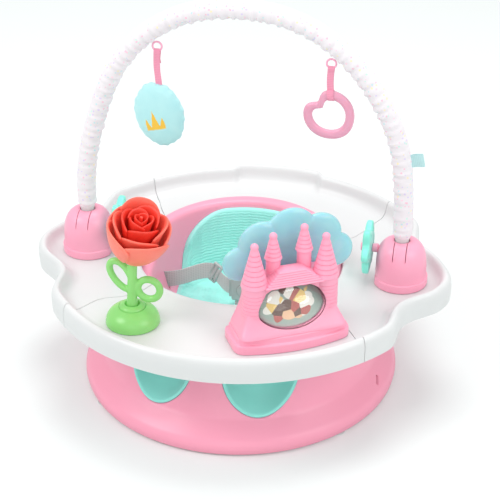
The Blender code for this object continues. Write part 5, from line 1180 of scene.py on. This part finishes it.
def pillow():
    """An oval lens blown up as cloth, then fitted back to the pillow's own half sizes.

    Round the rim, puckers (q cos 20a + s cos 7a - k) e^(-(w/h)^2) draw the seam in and out at the bearing a,
    and a narrower bell curve presses the seam in."""
    lift = np.linspace(0.10, math.pi - 0.10, 25)[:, None]
    turn = np.linspace(0, 2 * math.pi, 72, endpoint=False)[None]
    reach = np.sin(lift) ** 0.8
    half = pillow_half - 0.0035
    grid = np.stack([half[0] * reach * np.cos(turn), half[1] * np.cos(lift) + 0 * turn,
                     half[2] * reach * np.sin(turn)], axis=-1)
    piece = inflate(grid_mesh("stuffed_oval_pillow", grid), 0.0032, 4.0, 0.005)
    points = points_of(piece)
    points *= pillow_half * (0.985, 1.0, 0.985) / np.abs(points).max(axis=0)
    bearing = np.arctan2(points[:, 2] / pillow_half[2], points[:, 0] / pillow_half[0])
    near = np.exp(-(points[:, 1] / 0.0045) ** 2) * smooth_step(
        0.75, 1.0, np.hypot(points[:, 0] / pillow_half[0], points[:, 2] / pillow_half[2]))
    pucker = 0.022 * np.cos(20 * bearing) - 0.012 + 0.018 * np.cos(7 * bearing)
    points[:, (0, 2)] *= (1 + near * pucker)[:, None]
    crease = np.exp(-(points[:, 1] / 0.0011) ** 2) * near
    points[:, (0, 2)] *= (1 - 0.030 * crease)[:, None]
    return with_points(piece, points @ turn_about((0, 1, 0), pillow_tilt).T + pillow_centre)


aqua_plush = plush(pillow_centre, pillow_tilt)
finish_piece(pillow(), "pillow_toy", "pillow", aqua_plush, "pillow")

# The right hanging toy: a heart-shaped teether moulded in pale pink, held by a closed loop of the same
# hot pink ribbon through a second ring.
heart_outer = 0.0335
heart_band = 0.0115
heart_half_depth = 0.0048
heart_tilt = math.radians(-42)
heart_ribbon = 0.0315
heart_slack = 0.0014
pinched_half = 0.0008
outer_notch = (0.33, 0.36)
inner_notch = (0.44, 0.47)
heart_plastic = moulded_plastic("pale_pink_teether", "EAA6BF", 0.25, glow=0.15)
heart_pivot = hang_ring("heart_hanger_ring", "heart_ring_hanger")


def heart_radius(turn, radius, notch, notch_width):
    """R (1 - n e^(-(t/w)^2) + 0.07 e^(-((pi - t)/0.55)^2)): a notch at the top and a fuller point below."""
    away = np.minimum(turn, 2 * math.pi - turn)
    point = 0.07 * np.exp(-((math.pi - away) / 0.55) ** 2)
    return radius * (1 - notch * np.exp(-(away / notch_width) ** 2) + point)


def heart_teether():
    """A soft square section carried round between the heart's outer edge and its hole."""
    turn = np.linspace(0, 2 * math.pi, 220, endpoint=False)
    outer = heart_radius(turn, heart_outer, *outer_notch)
    inner = heart_radius(turn, heart_outer - heart_band, *inner_notch)
    run = np.linspace(0, 2 * math.pi, 28, endpoint=False)[None]
    reach = ((outer + inner) / 2)[:, None] + ((outer - inner) / 2)[:, None] * signed_power(np.cos(run), 0.75)
    depth = heart_half_depth * signed_power(np.sin(run), 0.75) + 0 * reach
    up = turn_about((0, 1, 0), heart_tilt)
    flat = np.stack([reach * np.sin(turn)[:, None], depth, reach * np.cos(turn)[:, None]], axis=-1) @ up.T
    middle = (outer + inner)[:, None] / 2 * np.stack([np.sin(turn), np.cos(turn)], axis=-1)
    lifted = middle[:, 0] * up[2, 0] + middle[:, 1] * up[2, 2]
    best = int(np.argmax(lifted))
    grip = np.array((middle[best, 0] * up[0, 0] + middle[best, 1] * up[0, 2], 0, lifted[best]))
    centre = heart_pivot - (0, 0, heart_ribbon + heart_band / 2) - grip
    return grid_mesh("heart_teether", flat + centre, wrap_rows=True)


finish_piece(heart_teether(), "heart_toy", "mounts_and_castle", heart_plastic, "heart_ring")


def heart_loop():
    """A closed band: close together between the ring's wire and the teether, and opened out round each."""
    t = np.linspace(0, 1, 60)
    drop = heart_ribbon + heart_band + heart_slack
    z = ribbon_loop - (drop + ribbon_loop) * (1 - np.cos(math.pi * t)) / 2
    pinch = pinched_half + (ribbon_loop - pinched_half) * smooth_step(-0.008, 0.0, z)
    middle = -(heart_ribbon + heart_band / 2)
    around = 1 - (np.clip(np.abs(z - middle) / (heart_band / 2 + heart_slack), 0, 1)) ** 2.4
    y = np.maximum(pinch * (z > middle), (heart_half_depth + 0.0010) * np.sqrt(around))
    y = np.where(z > 0, ribbon_loop * np.sqrt(np.clip(1 - (z / ribbon_loop) ** 2, 0, 1)), y)
    front = np.stack([0.0010 * np.sin(z / 0.011), -y, z], axis=-1)
    path = heart_pivot + np.concatenate([front, front[::-1][1:-1] * (1, -1, 1)])
    return ribbon("heart_hanging_ribbon", path, (1, 0, 0), ribbon_width, ribbon_thickness, closed=True)


finish_piece(heart_loop(), "heart_toy", "ribbons", hot_ribbon, "heart_strap")

# The rose toy's base and stem: glossy green ABS. A domed base holds a ball under a round collar, and the
# bendy stem carries a round and a long wire leaf.
rose_pivot = np.array((-0.1071, -0.1809, 0.1723))
rose_base_radius = 0.0355
rose_base_height = 0.0262
rose_pivot_height = 0.0140
stem_foot = 0.0040
stem_top = 0.0830
stem_lean = 0.0040
leaf_wire = 0.0048
round_leaf_place = (0.0232, 0, 0.0375)
round_leaf_radius = 0.0145
long_leaf_foot = (-0.0020, 0, 0.0350)
long_leaf_half = (0.0222, 0.0112)
green_plastic = moulded_plastic("green_abs", "93DE7E", 0.26, glow=0.05)


def rose_base():
    """A turned dome, h cos(a)^0.8 over R sin(a), with a groove round a collar and a mouth for the stem."""
    angle = np.radians(np.linspace(88, 31, 12))
    dome = np.stack([rose_base_radius * np.sin(angle), rose_base_height * np.cos(angle) ** 0.8], axis=-1)
    profile = np.concatenate([((0.0005, 0), (rose_base_radius - 0.0008, 0), (rose_base_radius, 0.0008)), dome,
                              ((0.0180, 0.0232), (0.0178, 0.0222), (0.0172, 0.0222), (0.0170, 0.0240),
                               (0.0155, 0.0262), (0.0115, 0.0280), (0.0098, 0.0278), (0.0085, 0.0240),
                               (0.0005, 0.0225))])
    softness = np.concatenate([[0.6, 0.6], np.full(13, 3.0), [0.4, 0.4, 0.6, 1.5, 2, 1, 1]]) / 1000
    place = rose_pivot - (0, 0, rose_pivot_height)
    return revolved("rose_domed_base", soften(profile, softness[:len(profile) - 2], 4), place, 96)


finish_piece(rose_base(), "front_tray", "rose_green", green_plastic, "rose_base")
carried("rose_ball", green_plastic)


def rose_stem():
    """A tapering stem and two closed loops, merged by an even remesh and smoothed where they join."""
    share = np.linspace(0, 1, 40)
    stem = np.stack([stem_lean * share ** 2, 0 * share, stem_foot + (stem_top - stem_foot) * share], axis=-1)
    turn = np.linspace(0, 2 * math.pi, 90, endpoint=False)
    circle = round_leaf_radius * np.stack([np.cos(turn), 0 * turn, np.sin(turn)], axis=-1) + round_leaf_place
    lean, side = np.array((-0.50, 0, 0.866)), np.array((0.866, 0, 0.50))
    oval = (long_leaf_foot + lean * long_leaf_half[0] * (1 + np.cos(turn)[:, None])
            + side * (long_leaf_half[1] * np.sin(turn) * (1 + 0.10 * np.cos(turn)))[:, None])
    taper = np.interp(share, (0, 0.1, 0.3, 1), (0.0086, 0.0078, 0.0064, 0.0058))[:, None]
    pieces = [tube("stem", stem, taper, 28, (0, 1, 0)),
              tube("round_leaf", circle, leaf_wire, 24, (0, 1, 0), closed=True),
              tube("long_leaf", oval, leaf_wire * 0.95, 24, (0, 1, 0), closed=True)]
    piece = joined("rose_stem_and_leaves", pieces)
    remesh = piece.modifiers.new("remesh", "REMESH")
    remesh.mode = "VOXEL"
    remesh.voxel_size = 0.0010
    smooth = piece.modifiers.new("smooth", "SMOOTH")
    smooth.factor = 0.5
    smooth.iterations = 12
    settle(piece, 180)
    return with_points(piece, points_of(piece) + rose_pivot)


finish_piece(rose_stem(), "rose_stem", "rose_green", green_plastic, "rose_stem")

# The rose's head: soft vinyl petals in four rows round a rolled bud, each a thick sheet with a rounded lip.
# The coral deepens towards the bud as painted shade and reflected light between the petals, and the head is
# tilted to the front and the right.
rose_tilt = math.radians(16)
coral = moulded_plastic("coral_soft_vinyl", "FF8270", 0.42, mottle=0.02, glow=0.10)
# The middle and deep corals are the outer coral's vinyl with painted shade: darker, redder colour stands for
# the shade and reflected light between the inner petals.
coral_painted_shade = moulded_plastic("coral_vinyl_painted_shade", "FA6B59", 0.42, mottle=0.02, glow=0.10)
coral_painted_deep_shade = moulded_plastic("coral_vinyl_painted_deep_shade", "EF4232", 0.42, mottle=0.02, glow=0.10)
head_turn = turn_about((0.52, 0.85, 0), rose_tilt)
head_place = rose_pivot + (stem_lean, 0, stem_top - 0.0010)


def petal(bearing, span, foot, rim, low, high, curl, thickness, droop=0.26):
    """A thick curled sheet. At (u, v), from side to side and from foot to rim, its bearing is b + u s w(v)/2.

    Its radius is f + (R - f) sin(pi v/2)^0.6 + c v^7 (1 - 0.3 u^2) + 0.0016 u v, which lays one side inside
    the next petal, and its height is low + (high - low) v^1.2 (1 - droop |u|^2.6 v) - 0.55 c v^12."""
    u = np.sin(np.linspace(-math.pi / 2, math.pi / 2, 35))[None]
    v = np.sin(np.linspace(0, math.pi / 2, 27))[:, None]
    wide = 0.45 + 0.55 * np.sin(math.pi / 2 * np.minimum(1.3 * v, 1)) ** 0.7
    angle = bearing + u * span / 2 * wide
    reach = foot + (rim - foot) * np.sin(math.pi / 2 * v) ** 0.6
    reach = reach + curl * v ** 7 * (1 - 0.3 * u ** 2) + 0.0016 * u * v
    height = low + (high - low) * v ** 1.2 * (1 - droop * np.abs(u) ** 2.6 * v) - 0.55 * curl * v ** 12
    surface = np.stack([reach * np.cos(angle), reach * np.sin(angle), height + 0 * angle], axis=-1)
    normal = unit(np.cross(np.gradient(surface, axis=1), np.gradient(surface, axis=0)))
    edge = np.maximum(np.abs(u), 2 * v - 1) ** 12
    half = thickness / 2 * np.sqrt(np.clip(1 - edge, 0.02, 1))[..., None]
    grid = np.concatenate([surface + normal * half, (surface - normal * half)[:, ::-1]], axis=1)
    return grid_mesh("petal", grid @ head_turn.T + head_place, ends="strip", sharp=70)


def petal_row(count, first, span, foot, rim, low, high, rise, curl, thickness, droop=0.26):
    """Evenly spaced petals; the ones behind stand higher by rise times the sine of their bearing."""
    around = [math.radians(first + 360 / count * k) for k in range(count)]
    return [petal(bearing, math.radians(span), foot, rim, low, high + rise * math.sin(bearing), curl,
                  thickness, droop) for bearing in around]


outer_row = petal_row(4, 35, 112, foot=0.0050, rim=0.0385, low=0.0000, high=0.0540, rise=0.0030, curl=0.0020,
                      thickness=0.0042)
second_row = petal_row(4, 12, 104, foot=0.0060, rim=0.0295, low=0.0070, high=0.0660, rise=0.0090, curl=0.0052,
                       thickness=0.0040, droop=0.20)
outer_petals = joined("rose_outer_petals", outer_row, 70)
finish_piece(outer_petals, "rose_stem", "rose_coral", coral, "rose_petals_outer")
# The second row wears the middle coral, which is painted shade.
finish_piece(joined("rose_second_petals", second_row, 70), "rose_stem", "rose_coral", coral_painted_shade)
third_row = petal_row(3, 60, 128, foot=0.0050, rim=0.0205, low=0.0120, high=0.0690, rise=0.0040, curl=0.0036,
                      thickness=0.0036, droop=0.18)
fourth_row = petal_row(3, 0, 135, foot=0.0040, rim=0.0130, low=0.0180, high=0.0700, rise=0.0010, curl=0.0026,
                       thickness=0.0032, droop=0.14)
inner_rows = joined("rose_inner_petals", third_row + fourth_row, 70)
# The inner rows wear the deep coral, which is painted deeper shade.
finish_piece(inner_rows, "rose_stem", "rose_coral", coral_painted_deep_shade, "rose_petals_inner")


def rose_bud():
    """Two close petals round a core, r = R sin(pi (0.1 + 0.78 s)) (1 + 0.08 cos(3t + 3s))."""
    share = np.linspace(0, 1, 18)[:, None]
    turn = np.linspace(0, 2 * math.pi, 40, endpoint=False)[None]
    reach = 0.0052 * np.sin(math.pi * (0.10 + 0.78 * share)) * (1 + 0.08 * np.cos(3 * turn + 3 * share))
    grid = np.stack([reach * np.cos(turn), reach * np.sin(turn), 0.0100 + 0.0580 * share + 0 * turn], axis=-1)
    core = grid_mesh("core", grid @ head_turn.T + head_place)
    wraps = petal_row(2, 30, 190, foot=0.0030, rim=0.0072, low=0.0200, high=0.0700, rise=0.0, curl=0.0012,
                      thickness=0.0026, droop=0.10)
    return joined("rose_bud_heart", [core, *wraps], 70)


# The bud wears the deep coral, which is painted deeper shade.
finish_piece(rose_bud(), "rose_stem", "rose_coral", coral_painted_deep_shade, "rose_bud")

# The castle's plinth and front: one pale pink ABS moulding over a stepped plinth. The walls flare to the
# foot, and four towers with shingled cones, the outer two ringed, stand by a shingled roof over an oval
# window.
castle_turn = math.radians(29.8)
castle_reach = 0.1950
castle_front = 0.0370
castle_back = 0.0312
castle_half_width = 0.0775
castle_shift = 0.0020
plinth_height = 0.0200
body_shoulder = 0.0850
roller_height = 0.0510
roller_forward = 0.0030
roller_half_length = 0.0478
roller_radius = 0.0330
roller_gap = 0.0009
roof_rows = 7
castle_out = np.array((math.sin(castle_turn), -math.cos(castle_turn), 0))
castle_place = np.array((0, tray_set_back + seat_y, valley + 0.0003)) + castle_out * castle_reach
castle_spin = turn_about((0, 0, 1), castle_turn)
castle_pink = moulded_plastic("castle_pink_abs", "FFA9C3", 0.38, mottle=0.01)


def on_castle(piece):
    """Carries a mesh from the castle's own frame, where +X is its right and -Y its front, to its place."""
    return with_points(piece, points_of(piece) @ castle_spin.T + castle_place)


def plinth():
    """The plan outline drawn in by each row's inset, along its own normals, at each row's height."""
    front_radius = castle_reach + castle_front
    angle = np.linspace(-1, 1, 25) * math.asin(0.0700 / front_radius)
    arc = np.stack([front_radius * np.sin(angle), castle_reach - front_radius * np.cos(angle)], axis=-1)
    half, back = castle_half_width, castle_back
    rest = np.array(((half, -0.0190), (half, back), (-half, back), (-half, -0.0190)))
    outline = soften(np.concatenate([arc, rest]), 0.011, 6, closed=True)
    outline = np.concatenate([outline, outline[:1]])
    outline = resample(np.concatenate([outline, 0 * outline[:, :1]], axis=1)[:, None], 241)[:-1, 0, :2]
    along = unit(np.roll(outline, -1, axis=0) - np.roll(outline, 1, axis=0))
    inward = np.stack([-along[:, 1], along[:, 0]], axis=-1)
    rows = soften(((0.0030, 0.0), (0.0000, 0.0), (0.0000, 0.0110), (0.0014, 0.0124), (0.0042, 0.0128),
                   (0.0050, 0.0190), (0.0062, plinth_height), (0.0200, plinth_height)),
                  np.array((0.8, 1.2, 1.2, 1.0, 1.5, 3)) / 1000, 4)
    grid = np.stack([np.concatenate([outline + inward * inset, np.full((len(outline), 1), level)], axis=1)
                     for inset, level in rows])
    return grid_mesh("castle_stepped_plinth", grid)


def soft_box(left, right, front, back, level, power=9.0, around=120):
    """A ring |x|^p + |y|^p = 1 stretched between four sides at one height."""
    turn = np.linspace(0, 2 * math.pi, around, endpoint=False)
    c, s = signed_power(np.cos(turn), 2 / power), signed_power(np.sin(turn), 2 / power)
    return np.stack([(left + right) / 2 + (right - left) / 2 * c, (back - front) / 2 + (back + front) / 2 * s,
                     np.full(around, level)], axis=-1)


def ellipsoid(name, half, centre, around=72, rows=48):
    """Half sizes times (sin v cos u, sin v sin u, cos v)."""
    v = np.linspace(0.02, math.pi - 0.02, rows)[:, None]
    u = np.linspace(0, 2 * math.pi, around, endpoint=False)[None]
    grid = np.stack([np.sin(v) * np.cos(u), np.sin(v) * np.sin(u), np.cos(v) + 0 * u], axis=-1)
    return grid_mesh(name, grid * np.array(half) + np.array(centre))


def tower(x, y, shaft, cone, cone_height, height, bottom, steps, rings, ball=0.0052):
    """A turned tower: a shaft with ring grooves, a cone of overlapping shingle rows and a ball on its tip."""
    base, neck = height - cone_height, height - 1.8 * ball
    profile = [(0.0005, bottom), (shaft, bottom)]
    for ring in range(rings):
        level = base - 0.0045 - 0.0052 * (rings - ring)
        profile += [(shaft, level - 0.0005), (shaft - 0.0007, level), (shaft, level + 0.0005)]
    profile += [(shaft, base - 0.0042), (shaft + 0.0002, base - 0.0030)]
    for step in range(steps):
        low, high = base + (neck - base) * step / steps, base + (neck - base) * (step + 1) / steps
        reach = cone + (ball * 0.90 - cone) * step / steps
        following = cone + (ball * 0.90 - cone) * (step + 1) / steps
        profile += [(reach - 0.0006, low - 0.0002), (reach + 0.0003, low + 0.0008)]
        profile += [(following + 0.0004, high - 0.0006)]
    angle = np.linspace(-0.55, 1.5, 10)
    profile += [(ball * math.cos(a), height - ball + ball * math.sin(a)) for a in angle]
    return revolved("tower", profile, (x, y, 0), 56, sharp=50)


def castle_front_wall():
    """The flared walls and outer towers in one, hollowed for the roller, with the roof and inner towers."""
    bottom = plinth_height + 0.0003
    levels = np.array(((bottom, 0.0706, 0.0298), (0.0240, 0.0698, 0.0282), (0.0320, 0.0655, 0.0215),
                       (0.0420, 0.0610, 0.0158), (0.0560, 0.0565, 0.0118), (body_shoulder, 0.0530, 0.0105)))
    rows = soften(levels, 0.008, 4)
    rings = []
    for level, half_width, front in rows:
        shift = castle_shift * (level - bottom) / 0.06
        rings.append(soft_box(shift - half_width, shift + half_width, front, castle_back, level))
    walls = grid_mesh("walls", np.stack(rings))
    for side in (-1, 1):
        boolean(walls, tower(side * 0.0472 + castle_shift, 0, shaft=0.0163, cone=0.0172, cone_height=0.0595,
                             height=0.1430, bottom=bottom + 0.006, steps=8, rings=9), "UNION")
    hollow = np.array((roller_half_length, roller_radius, roller_radius)) + roller_gap
    boolean(walls, ellipsoid("cavity", hollow, (0, -roller_forward, roller_height)), "DIFFERENCE", 45)
    pieces = [walls]
    for side in (-1, 1):
        pieces.append(tower(side * 0.0205 + 0.0038, 0.0120, shaft=0.0093, cone=0.0112, cone_height=0.0360,
                            height=0.1505 + side * 0.003, bottom=0.0695, steps=5, rings=0))
    ledges = []
    for step in range(roof_rows):
        low, high = step / roof_rows, (step + 1) / roof_rows
        for share, lift, grow in ((low, -0.0006, 0.0), (low, 0.0002, 0.0007), (high, -0.0006, 0.0006)):
            ledges.append(soft_box(-0.0345 + 0.0215 * share - grow, 0.0430 - 0.0250 * share + grow,
                                   0.0165 - 0.0090 * share + grow, 0.0200 - 0.0120 * share + grow,
                                   0.0835 + 0.0180 * share + lift, 24.0, 96))
    pieces.append(grid_mesh("roof", np.stack(ledges)))
    return joined("castle_front_moulding", pieces, 45)


finish_piece(on_castle(plinth()), "front_tray", "mounts_and_castle", castle_pink, "castle_plinth")
finish_piece(on_castle(castle_front_wall()), "front_tray", "mounts_and_castle", castle_pink, "castle_body")

# The roller: a clear polycarbonate bubble on an axle across the window, with a printed card inside it.
# The card carries plain coloured spots on grey-green.
bubble_wall = 0.0020
card_half = np.array((0.0445, 0.0300))
card_half_thickness = 0.0010
card_lean = math.radians(30)


def clear_polycarbonate():
    """Clear, glossy plastic with a fine polish haze. It lets the light of the lamps through to the card."""
    made, tree, output = new_material("clear_polycarbonate")
    place = node(tree, "ShaderNodeTexCoord")
    haze = node(tree, "ShaderNodeTexNoise", {"Vector": (place, "Object"), "Scale": 40.0, "Detail": 2.0})
    gloss = node(tree, "ShaderNodeMapRange", {"Value": (haze, "Fac"), "To Min": 0.02, "To Max": 0.07})
    shader = node(tree, "ShaderNodeBsdfPrincipled", {"Base Color": linear("FAFDFC"), "Roughness": (gloss, 0),
                                                     "IOR": 1.50, "Transmission Weight": 1.0})
    path = node(tree, "ShaderNodeLightPath")
    clear = node(tree, "ShaderNodeBsdfTransparent", {"Color": linear("F4F8F6")})
    lit = node(tree, "ShaderNodeMixShader", {0: (path, "Is Shadow Ray"), 1: (shader, 0), 2: (clear, 0)})
    tree.links.new(lit.outputs[0], output.inputs["Surface"])
    return made


def printed_card():
    """Coated card: grey-green with a cluster of round spots in plain colours towards its middle."""
    made, tree, output = new_material("printed_coated_card")
    place = node(tree, "ShaderNodeAttribute", attribute_name="flat")
    spots = node(tree, "ShaderNodeTexVoronoi", {"Vector": (place, "Vector"), "Scale": 1000 / 13.0})
    parts = node(tree, "ShaderNodeSeparateXYZ", {"Vector": (place, "Vector")})
    middle = node(tree, "ShaderNodeVectorMath", {0: (place, "Vector"), 1: (1.0, 0.0, 1.45)},
                  operation="MULTIPLY")
    away = node(tree, "ShaderNodeVectorMath", {0: (middle, 0)}, operation="LENGTH")
    reach = node(tree, "ShaderNodeMapRange", {"Value": (away, "Value"), "From Min": 0.028, "From Max": 0.040,
                                              "To Min": 0.80, "To Max": 0.0})
    inside = node(tree, "ShaderNodeMath", {0: (reach, 0), 1: (spots, "Distance")}, operation="SUBTRACT")
    mask = node(tree, "ShaderNodeMapRange", {"Value": (inside, 0), "From Min": 0.0, "From Max": 0.05})
    pick = node(tree, "ShaderNodeSeparateColor", {"Color": (spots, "Color")})
    hues = node(tree, "ShaderNodeValToRGB", {"Fac": (pick, 0)})
    ramp = hues.color_ramp
    ramp.interpolation = "CONSTANT"
    for position, code in ((0.0, "F4CE7C"), (0.26, "F6EFE8"), (0.46, "BE625B"), (0.62, "6B4C42"),
                           (0.76, "EFC09C"), (0.90, "55626C")):
        stop = ramp.elements[0] if position == 0 else ramp.elements.new(position)
        stop.position = position
        stop.color = linear(code)
    ramp.elements.remove(ramp.elements[-1])
    rise = node(tree, "ShaderNodeMapRange", {"Value": (parts, 2), "From Min": -0.025, "From Max": 0.025,
                                             "To Min": 0.0, "To Max": 1.0})
    ground = node(tree, "ShaderNodeMix", {"Factor": (rise, 0), 6: linear("A9B5AD"), 7: linear("93A79E")},
                  data_type="RGBA")
    colour = node(tree, "ShaderNodeMix", {"Factor": (mask, 0), 6: (ground, 2), 7: (hues, 0)},
                  data_type="RGBA")
    shader = node(tree, "ShaderNodeBsdfPrincipled", {"Base Color": (colour, 2), "Roughness": 0.45,
                                                     "IOR": 1.5})
    tree.links.new(shader.outputs[0], output.inputs["Surface"])
    return made


def bubble():
    """An ellipsoid about X with a thin wall, open round the axle: along the outside and back inside."""
    run = np.linspace(0.06, math.pi - 0.06, 60)
    outer = np.stack([roller_radius * np.sin(run), roller_half_length * np.cos(run)], axis=-1)
    inner = np.stack([(roller_radius - bubble_wall) * np.sin(run),
                      (roller_half_length - bubble_wall) * np.cos(run)], axis=-1)
    profile = np.concatenate([outer, inner[::-1]])
    turn = np.linspace(0, 2 * math.pi, 96, endpoint=False)[None]
    reach = profile[:, :1]
    grid = np.stack([profile[:, 1:] + 0 * turn, reach * np.cos(turn), reach * np.sin(turn)], axis=-1)
    grid = grid + np.array((0, -roller_forward, roller_height))
    return grid_mesh("clear_roller_bubble", grid, wrap_rows=True)


def roller_card():
    """An oval plate with a soft edge across the bubble, on the axle."""
    run = np.linspace(0.03, math.pi - 0.03, 30)[:, None]
    turn = np.linspace(0, 2 * math.pi, 96, endpoint=False)[None]
    share = np.sin(run) ** 0.12
    deep = card_half_thickness * signed_power(np.cos(run), 0.3) + 0 * turn
    grid = np.stack([card_half[0] * share * np.cos(turn), deep, card_half[1] * share * np.sin(turn)], axis=-1)
    leaning = grid @ turn_about((1, 0, 0), -card_lean).T + (0, -roller_forward, roller_height)
    return grid_mesh("printed_roller_card", leaning, carry={"flat": grid})


finish_piece(on_castle(bubble()), "castle_roller", "roller", clear_polycarbonate(), "castle_roller")
finish_piece(on_castle(roller_card()), "castle_roller", "card", printed_card(), "roller_card")
axle_shape = np.array(((0.0004, 0.0462), (0.0025, 0.0462), (0.0025, 0.0510), (0.0004, 0.0510)))
axle_ends = [revolved("axle_end", axle_shape * (1, side), (0, -roller_forward, roller_height), 24, "x")
             for side in (-1, 1)]
finish_piece(on_castle(joined("roller_axle_ends", axle_ends)), "castle_roller", "roller", castle_pink)

# The cloud: a puffed shape of tinted translucent blue styrene behind the castle, which glows where light
# comes through it. Its five lobes have soft creases between them.
cloud_half = 0.0095
cloud_crease = 36
cloud_lobes = np.array(((-0.0505, 0.0930, 0.0240), (-0.0220, 0.1165, 0.0320), (0.0170, 0.1275, 0.0345),
                        (0.0540, 0.1180, 0.0310), (0.0765, 0.0930, 0.0245), (-0.0160, 0.0960, 0.0270),
                        (0.0200, 0.0980, 0.0290), (0.0480, 0.0940, 0.0260)))


def blue_styrene():
    """Translucent blue styrene: clear enough to glow at its edges, with a slow swirl in the tint."""
    made, tree, output = new_material("translucent_blue_styrene")
    place = node(tree, "ShaderNodeTexCoord")
    swirl = node(tree, "ShaderNodeTexNoise", {"Vector": (place, "Object"), "Scale": 26.0, "Detail": 3.0,
                                              "Distortion": 1.2})
    tint = node(tree, "ShaderNodeMix", {"Factor": (swirl, "Fac"), 6: linear("9AE4F0"), 7: linear("C4F2F8")},
                data_type="RGBA")
    gloss = node(tree, "ShaderNodeMapRange", {"Value": (swirl, "Fac"), "To Min": 0.10, "To Max": 0.18})
    shader = node(tree, "ShaderNodeBsdfPrincipled", {
        "Base Color": (tint, 2), "Roughness": (gloss, 0), "IOR": 1.50, "Transmission Weight": 0.25,
        "Subsurface Weight": 0.3, "Subsurface Scale": 0.01})
    tree.links.new(shader.outputs[0], output.inputs["Surface"])
    return made


def cloud():
    """Two puffed sheets over the lobes' joint outline, drawn in polar form from its middle.

    Each lobe is a dome (1 - d^2/R^2)^0.4, and the sheet stands at a soft highest of the domes over a point,
    (1/k) ln(sum e^(k dome)), where k is cloud_crease."""
    turn = np.linspace(0, 2 * math.pi, 300, endpoint=False)
    middle = np.array((0.0120, 0.0980))
    direction = np.stack([np.cos(turn), np.sin(turn)], axis=-1)
    centre, radius = cloud_lobes[:, :2] - middle, cloud_lobes[:, 2]
    ahead = direction @ centre.T
    root = radius ** 2 - (np.sum(centre ** 2, axis=1) - ahead ** 2)
    reach = np.where(root > 0, ahead + np.sqrt(np.maximum(root, 0)), 0).max(axis=1)
    share = np.concatenate([np.linspace(0.01, 0.90, 30), 1 - np.linspace(0.30, 0.0, 13)[1:] ** 2])[:, None]
    flat = middle + (direction * reach[:, None])[None] * share[..., None]
    away = np.linalg.norm(flat[:, :, None] - cloud_lobes[:, :2], axis=-1) / radius
    dome = np.sqrt(np.clip(1 - away ** 2, 0, 1)) ** 0.8 * (0.75 + 0.25 * radius / radius.max())
    puff = np.log(np.exp(cloud_crease * dome).sum(axis=-1) - len(radius) + 1) / cloud_crease
    puff = cloud_half * np.clip(puff, 0.0, 1.0)
    puff[-1] = 0.0004
    y = castle_back + 0.0003 + cloud_half
    front = np.stack([flat[..., 0], y - puff, flat[..., 1]], axis=-1)
    back = np.stack([flat[..., 0], y + puff, flat[..., 1]], axis=-1)
    return grid_mesh("puffed_cloud", np.concatenate([front, back[::-1][1:]]))


finish_piece(on_castle(cloud()), "front_tray", "cloud", blue_styrene(), "castle_cloud")

# The harness: grey polyester webbing across the waist and up between the legs, with slides and a
# side-release buckle. The webbing is woven flat, 25 mm wide, and the waist straps arch up and back.
# strap_rise says how far back and up, by side.
strap_y = 0.0055
strap_z = 0.1120
web_width = 0.0250
web_thickness = 0.0016
grey_webbing = woven_band("grey_polyester_webbing", "CFCECD", 3.6, 0.85, 0.15, 0.0003)
grey_plastic = moulded_plastic("grey_acetal", "B4B8B7", 0.40, grain_mm=1.2)
strap_rise = {-1: np.array((0.0120, 0.0165)), 1: np.array((0.0030, 0.0050))}
rise_place = 0.0500
slot_x = 0.1225
tongue_x = 0.0208
crotch_ends = (0.0755, 0.0940)


def waist_path(side, x):
    """The strap's middle at a distance x from the middle: it arches up and back by A e^(-((x - a)/w)^2)."""
    x = np.asarray(x, float)
    spread = np.where(x > rise_place, 0.040, 0.018)
    arch = np.exp(-((x - rise_place) / spread) ** 2)
    back, up = strap_rise[side]
    return np.stack([side * x, strap_y + back * arch, strap_z + up * arch], axis=-1)


def ladder_lock(name, side):
    """Three upright bars between two rails, with rounded edges, on the strap near the top of its arch."""
    along = unit(waist_path(side, rise_place - 0.002) - waist_path(side, rise_place - 0.010))
    away = unit(np.cross(along, (0, 0, 1)))
    turn = np.stack([along, away, np.cross(along, away)], axis=1)
    turn = turn * (1, 1, np.sign(turn[2, 2]))
    centre = waist_path(side, rise_place - 0.006)
    parts = [(0.0026, 0.0050, 0.0300, step, 0) for step in (-0.0062, 0, 0.0062)]
    parts += [(0.0150, 0.0042, 0.0028, 0, step) for step in (-0.0146, 0.0146)]
    blocks = [block("bar", (x, y, z), turn @ np.array((shift, 0, lift)) + centre, turn)
              for x, y, z, shift, lift in parts]
    piece = joined(name, blocks)
    bevel = piece.modifiers.new("bevel", "BEVEL")
    bevel.width = 0.0007
    bevel.segments = 3
    return settle(piece, 40)


for side, name in ((-1, "left"), (1, "right")):
    path = waist_path(side, np.linspace(tongue_x, slot_x, 60))
    finish_piece(ribbon(f"waist_webbing_{name}", path, (0, 0, 1), web_width, web_thickness, edge_wave=0.0001),
                 "seat", "webbing", grey_webbing, f"waist_strap_{name}")
    carried(f"buckle_tongue_{name}", grey_plastic)
    lock = ladder_lock(f"ladder_lock_{name}", side)
    finish_piece(lock, "seat", "webbing", grey_plastic, f"strap_slider_{name}")
t = np.linspace(0, 1, 30)
crotch_up = np.interp(t, (0, 1), crotch_ends)
crotch_path = np.stack([0 * t, strap_y - 0.0015 * np.sin(math.pi * t), crotch_up], axis=-1)
finish_piece(ribbon("crotch_webbing", crotch_path, (1, 0, 0), web_width, web_thickness), "seat", "webbing",
             grey_webbing, "crotch_strap")
carried("buckle_housing", grey_plastic)
carried("buckle_button", moulded_plastic("light_grey_acetal", "B9BCBB", 0.38, grain_mm=1.2))
